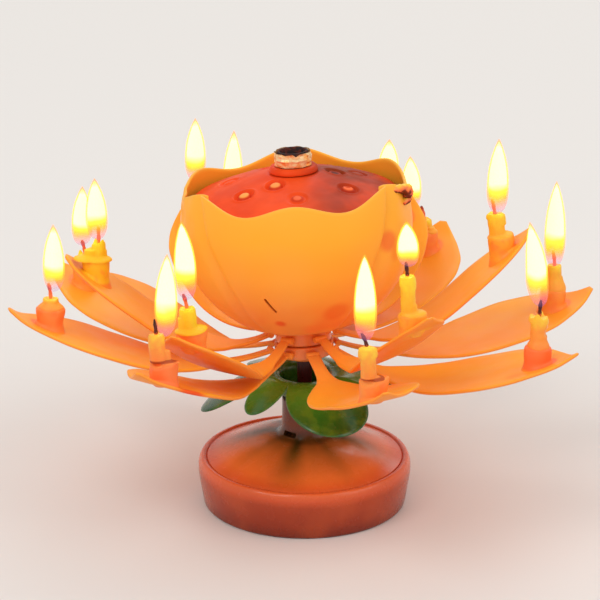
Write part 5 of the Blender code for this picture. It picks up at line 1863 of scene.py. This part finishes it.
UPPER_STATIONS: Stations = (
    (0.000, 0.000, 0.16), (0.080, -0.034, 0.18), (0.160, -0.054, 0.24), (0.220, -0.060, 0.42),
    (0.310, -0.052, 0.64), (0.430, -0.016, 0.87), (0.550, 0.050, 1.00), (0.680, 0.140, 1.03),
    (0.800, 0.222, 0.92), (0.890, 0.284, 0.68), (0.955, 0.332, 0.38), (1.000, 0.376, 0.08))
LOWER_PETALS = (
    (15.0, -1.4, 8.0), (60.0, -5.2, 4.0), (105.0, -6.2, 3.0), (150.0, -0.4, 0.0),
    (-165.0, 0.0, 1.5), (-120.0, 2.2, -1.0), (-75.0, 6.2, -1.5), (-30.0, 3.0, -10.0))
UPPER_PETALS = (
    (31.0, -1.8, 8.0), (91.0, 4.4, 0.0), (151.0, 0.0, 1.5),
    (-149.0, 0.0, -1.5), (-89.0, 4.6, 0.0), (-29.0, -2.8, -5.0))
LOWER_SIDES = {0: (1.0, 0.55, 1.15, 1.0), 7: (1.2, 1.0, 0.5, 0.6)}
UPPER_SIDES = {0: (0.42, 0.8, 1.0, 1.0), 5: (1.0, 1.0, 0.42, 0.9)}
# Painted shadows that the sockets cast on the near side of lower petals 8 and 2: middle, reach and
# strength.
LOWER_SOCKET_SHADOWS = {
    7: (((0.0610, 0.0080, 0.0060), 0.0065, 0.9),),
    1: (((0.0600, -0.0070, 0.0050), 0.0040, 0.3),)}
LOWER_CANDLES = (
    CandleLook(0.75, (74.8, 99.0, 0.9, -0.6), stick=2.1, place=(-1.0, -0.9), skirt=(3.2, 0.9),
               lumps=((-90, 60, 0.4, 0.0, 2.6), (100, 60, 0.5, 0.0, 2.4)),
               lips=((-30, 60, -1.0, 0.0), (95, 55, 0.6, 0.5)), cap=Cap.BLOB, wick=(-1.3, -0.3),
               lit=False, warmth=0.15, scorch=6.6, seed=1.0),
    CandleLook(0.75, (71.3, 95.7, -1.3, -4.5), stick=2.3, skirt=(3.1, 2.4),
               lumps=((-100, 50, 0.6, 0.0, 1.6), (90, 45, 0.3, 0.0, 1.8), (80, 50, -0.5, 4.0, 5.5)),
               cap=Cap.JAGGED, lit=False, wick=(0.2, 0.0), warmth=0.15,
               socket=srgb(255, 122, 62), seed=2.0),
    CandleLook(0.65, (62.0, 88.0, 0.5, 0.2), stick=2.1, skirt=(3.3, 4.0),
               lumps=((90, 40, 0.3, 3.4, 8.0),), socket=srgb(255, 150, 60), seed=3.0),
    CandleLook(0.48, (64.8, 80.9, -3.0, -0.8), stick=2.2, skirt=(3.0, 1.0),
               lumps=((60, 50, 0.9, 2.4, 4.0),), warmth=0.5, seed=4.0),
    CandleLook(0.53, (62.0, 86.5, -0.5, 0.8), seed=5.0),
    CandleLook(0.48, (62.5, 80.7, 0.2, 0.6), stick=2.3, skirt=(3.2, 1.6), cap=Cap.JAGGED, warmth=0.9,
               socket=srgb(255, 156, 60), seed=6.0),
    CandleLook(0.44, (68.3, 88.0, 1.6, 0.2), stick=2.2, skirt=(3.3, 1.9),
               lips=((-100, 70, 0.0, 0.4), (80, 70, 0.0, 0.4)), warmth=0.2,
               socket=srgb(255, 140, 66), seed=7.0),
    CandleLook(0.70, (72.3, 95.4, 3.0, 0.9), stick=2.2, place=(-1.1, -0.8), lean=-0.3, skirt=(3.2, 0.7),
               lumps=((100, 34, 1.3, 4.6, 8.0),), lips=((-40, 60, -0.7, 0.0), (95, 50, 0.4, 0.2)),
               wick=(-0.2, 0.0), cone=1.2, lit=False, warmth=0.05, scorch=6.8,
               socket=srgb(255, 132, 70), seed=8.0))
UPPER_CANDLES = (
    CandleLook(0.82, (87.5, 100.2, 0.5, -0.9), stick=2.0, place=(-0.9, -0.4), skirt=(3.3, 0.7),
               cone=2.2,
               lumps=((-90, 70, 0.3, 0.0, 2.4), (110, 50, 0.3, 0.6, 3.4), (100, 60, 0.4, 8.0, 12.0)),
               lips=((110, 70, 0.2, 0.4),), wick=(-0.3, 0.0), lit=False, warmth=0.75,
               socket=srgb(255, 172, 56), seed=9.0),
    CandleLook(0.63, (83.9, 106.0, 1.5, 0.2), stick=2.3, place=(-0.7, 0.0), skirt=(3.5, 0.8),
               lumps=((90, 60, 0.5, 0.6, 3.2), (-90, 40, 0.4, 0.2, 1.2)), lips=((100, 70, 0.6, 0.3),),
               warmth=0.65, wick=(-0.3, 0.0), socket=srgb(255, 172, 56), seed=10.0),
    CandleLook(0.55, (76.0, 89.8, -1.0, 0.4), seed=11.0),
    CandleLook(0.60, (77.1, 96.5, 0.9, 0.2), seed=12.0),
    CandleLook(0.56, (77.1, 95.2, -0.4, -0.8), stick=2.0, place=(0.6, 0.0), skirt=(3.9, 1.2),
               lumps=((-80, 60, 2.0, 2.2, 9.0), (90, 40, 0.3, 2.6, 9.0)), lips=((-80, 80, 0.4, 0.4),),
               cap=Cap.JAGGED, wick=(-0.2, 0.0), warmth=1.0, socket=srgb(253, 200, 44), seed=13.0),
    CandleLook(0.60, (78.4, 100.8, 0.6, -1.8), stick=2.3, place=(-0.4, 0.0), skirt=(4.1, 1.0), cone=1.5,
               lumps=((-90, 50, 0.5, 2.6, 5.0),), lips=((90, 60, 0.3, 0.5), (-90, 60, 0.0, 0.2)),
               wick=(-0.7, 0.0), warmth=1.0, socket=srgb(255, 146, 66), seed=14.0))


def main() -> None:
    """Build the stage and every sub-assembly in order."""
    logging.basicConfig(level=logging.INFO, format="%(message)s")
    Studio().build()
    MusicBase().build()
    Calyx().build()
    Hubs(HEAD).build()
    PetalTier(Tier.LOWER, HEAD, 0.0095, 0.0463, 0.0840, 0.0286, 0.0724, LOWER_STATIONS, LOWER_PETALS,
              LOWER_CANDLES, LOWER_SOCKET_SHADOWS, LOWER_SIDES).build()
    PetalTier(Tier.UPPER, HEAD, 0.0090, 0.0505, 0.0664, 0.0248, 0.0578, UPPER_STATIONS, UPPER_PETALS,
              UPPER_CANDLES, sides=UPPER_SIDES).build()
    Cup(HEAD).build()
    MeltedCorner(HEAD).build()
    SeedHead(HEAD).build()
    Sparkler(HEAD).build()
    Works().build()


if __name__ == "__main__":
    main()
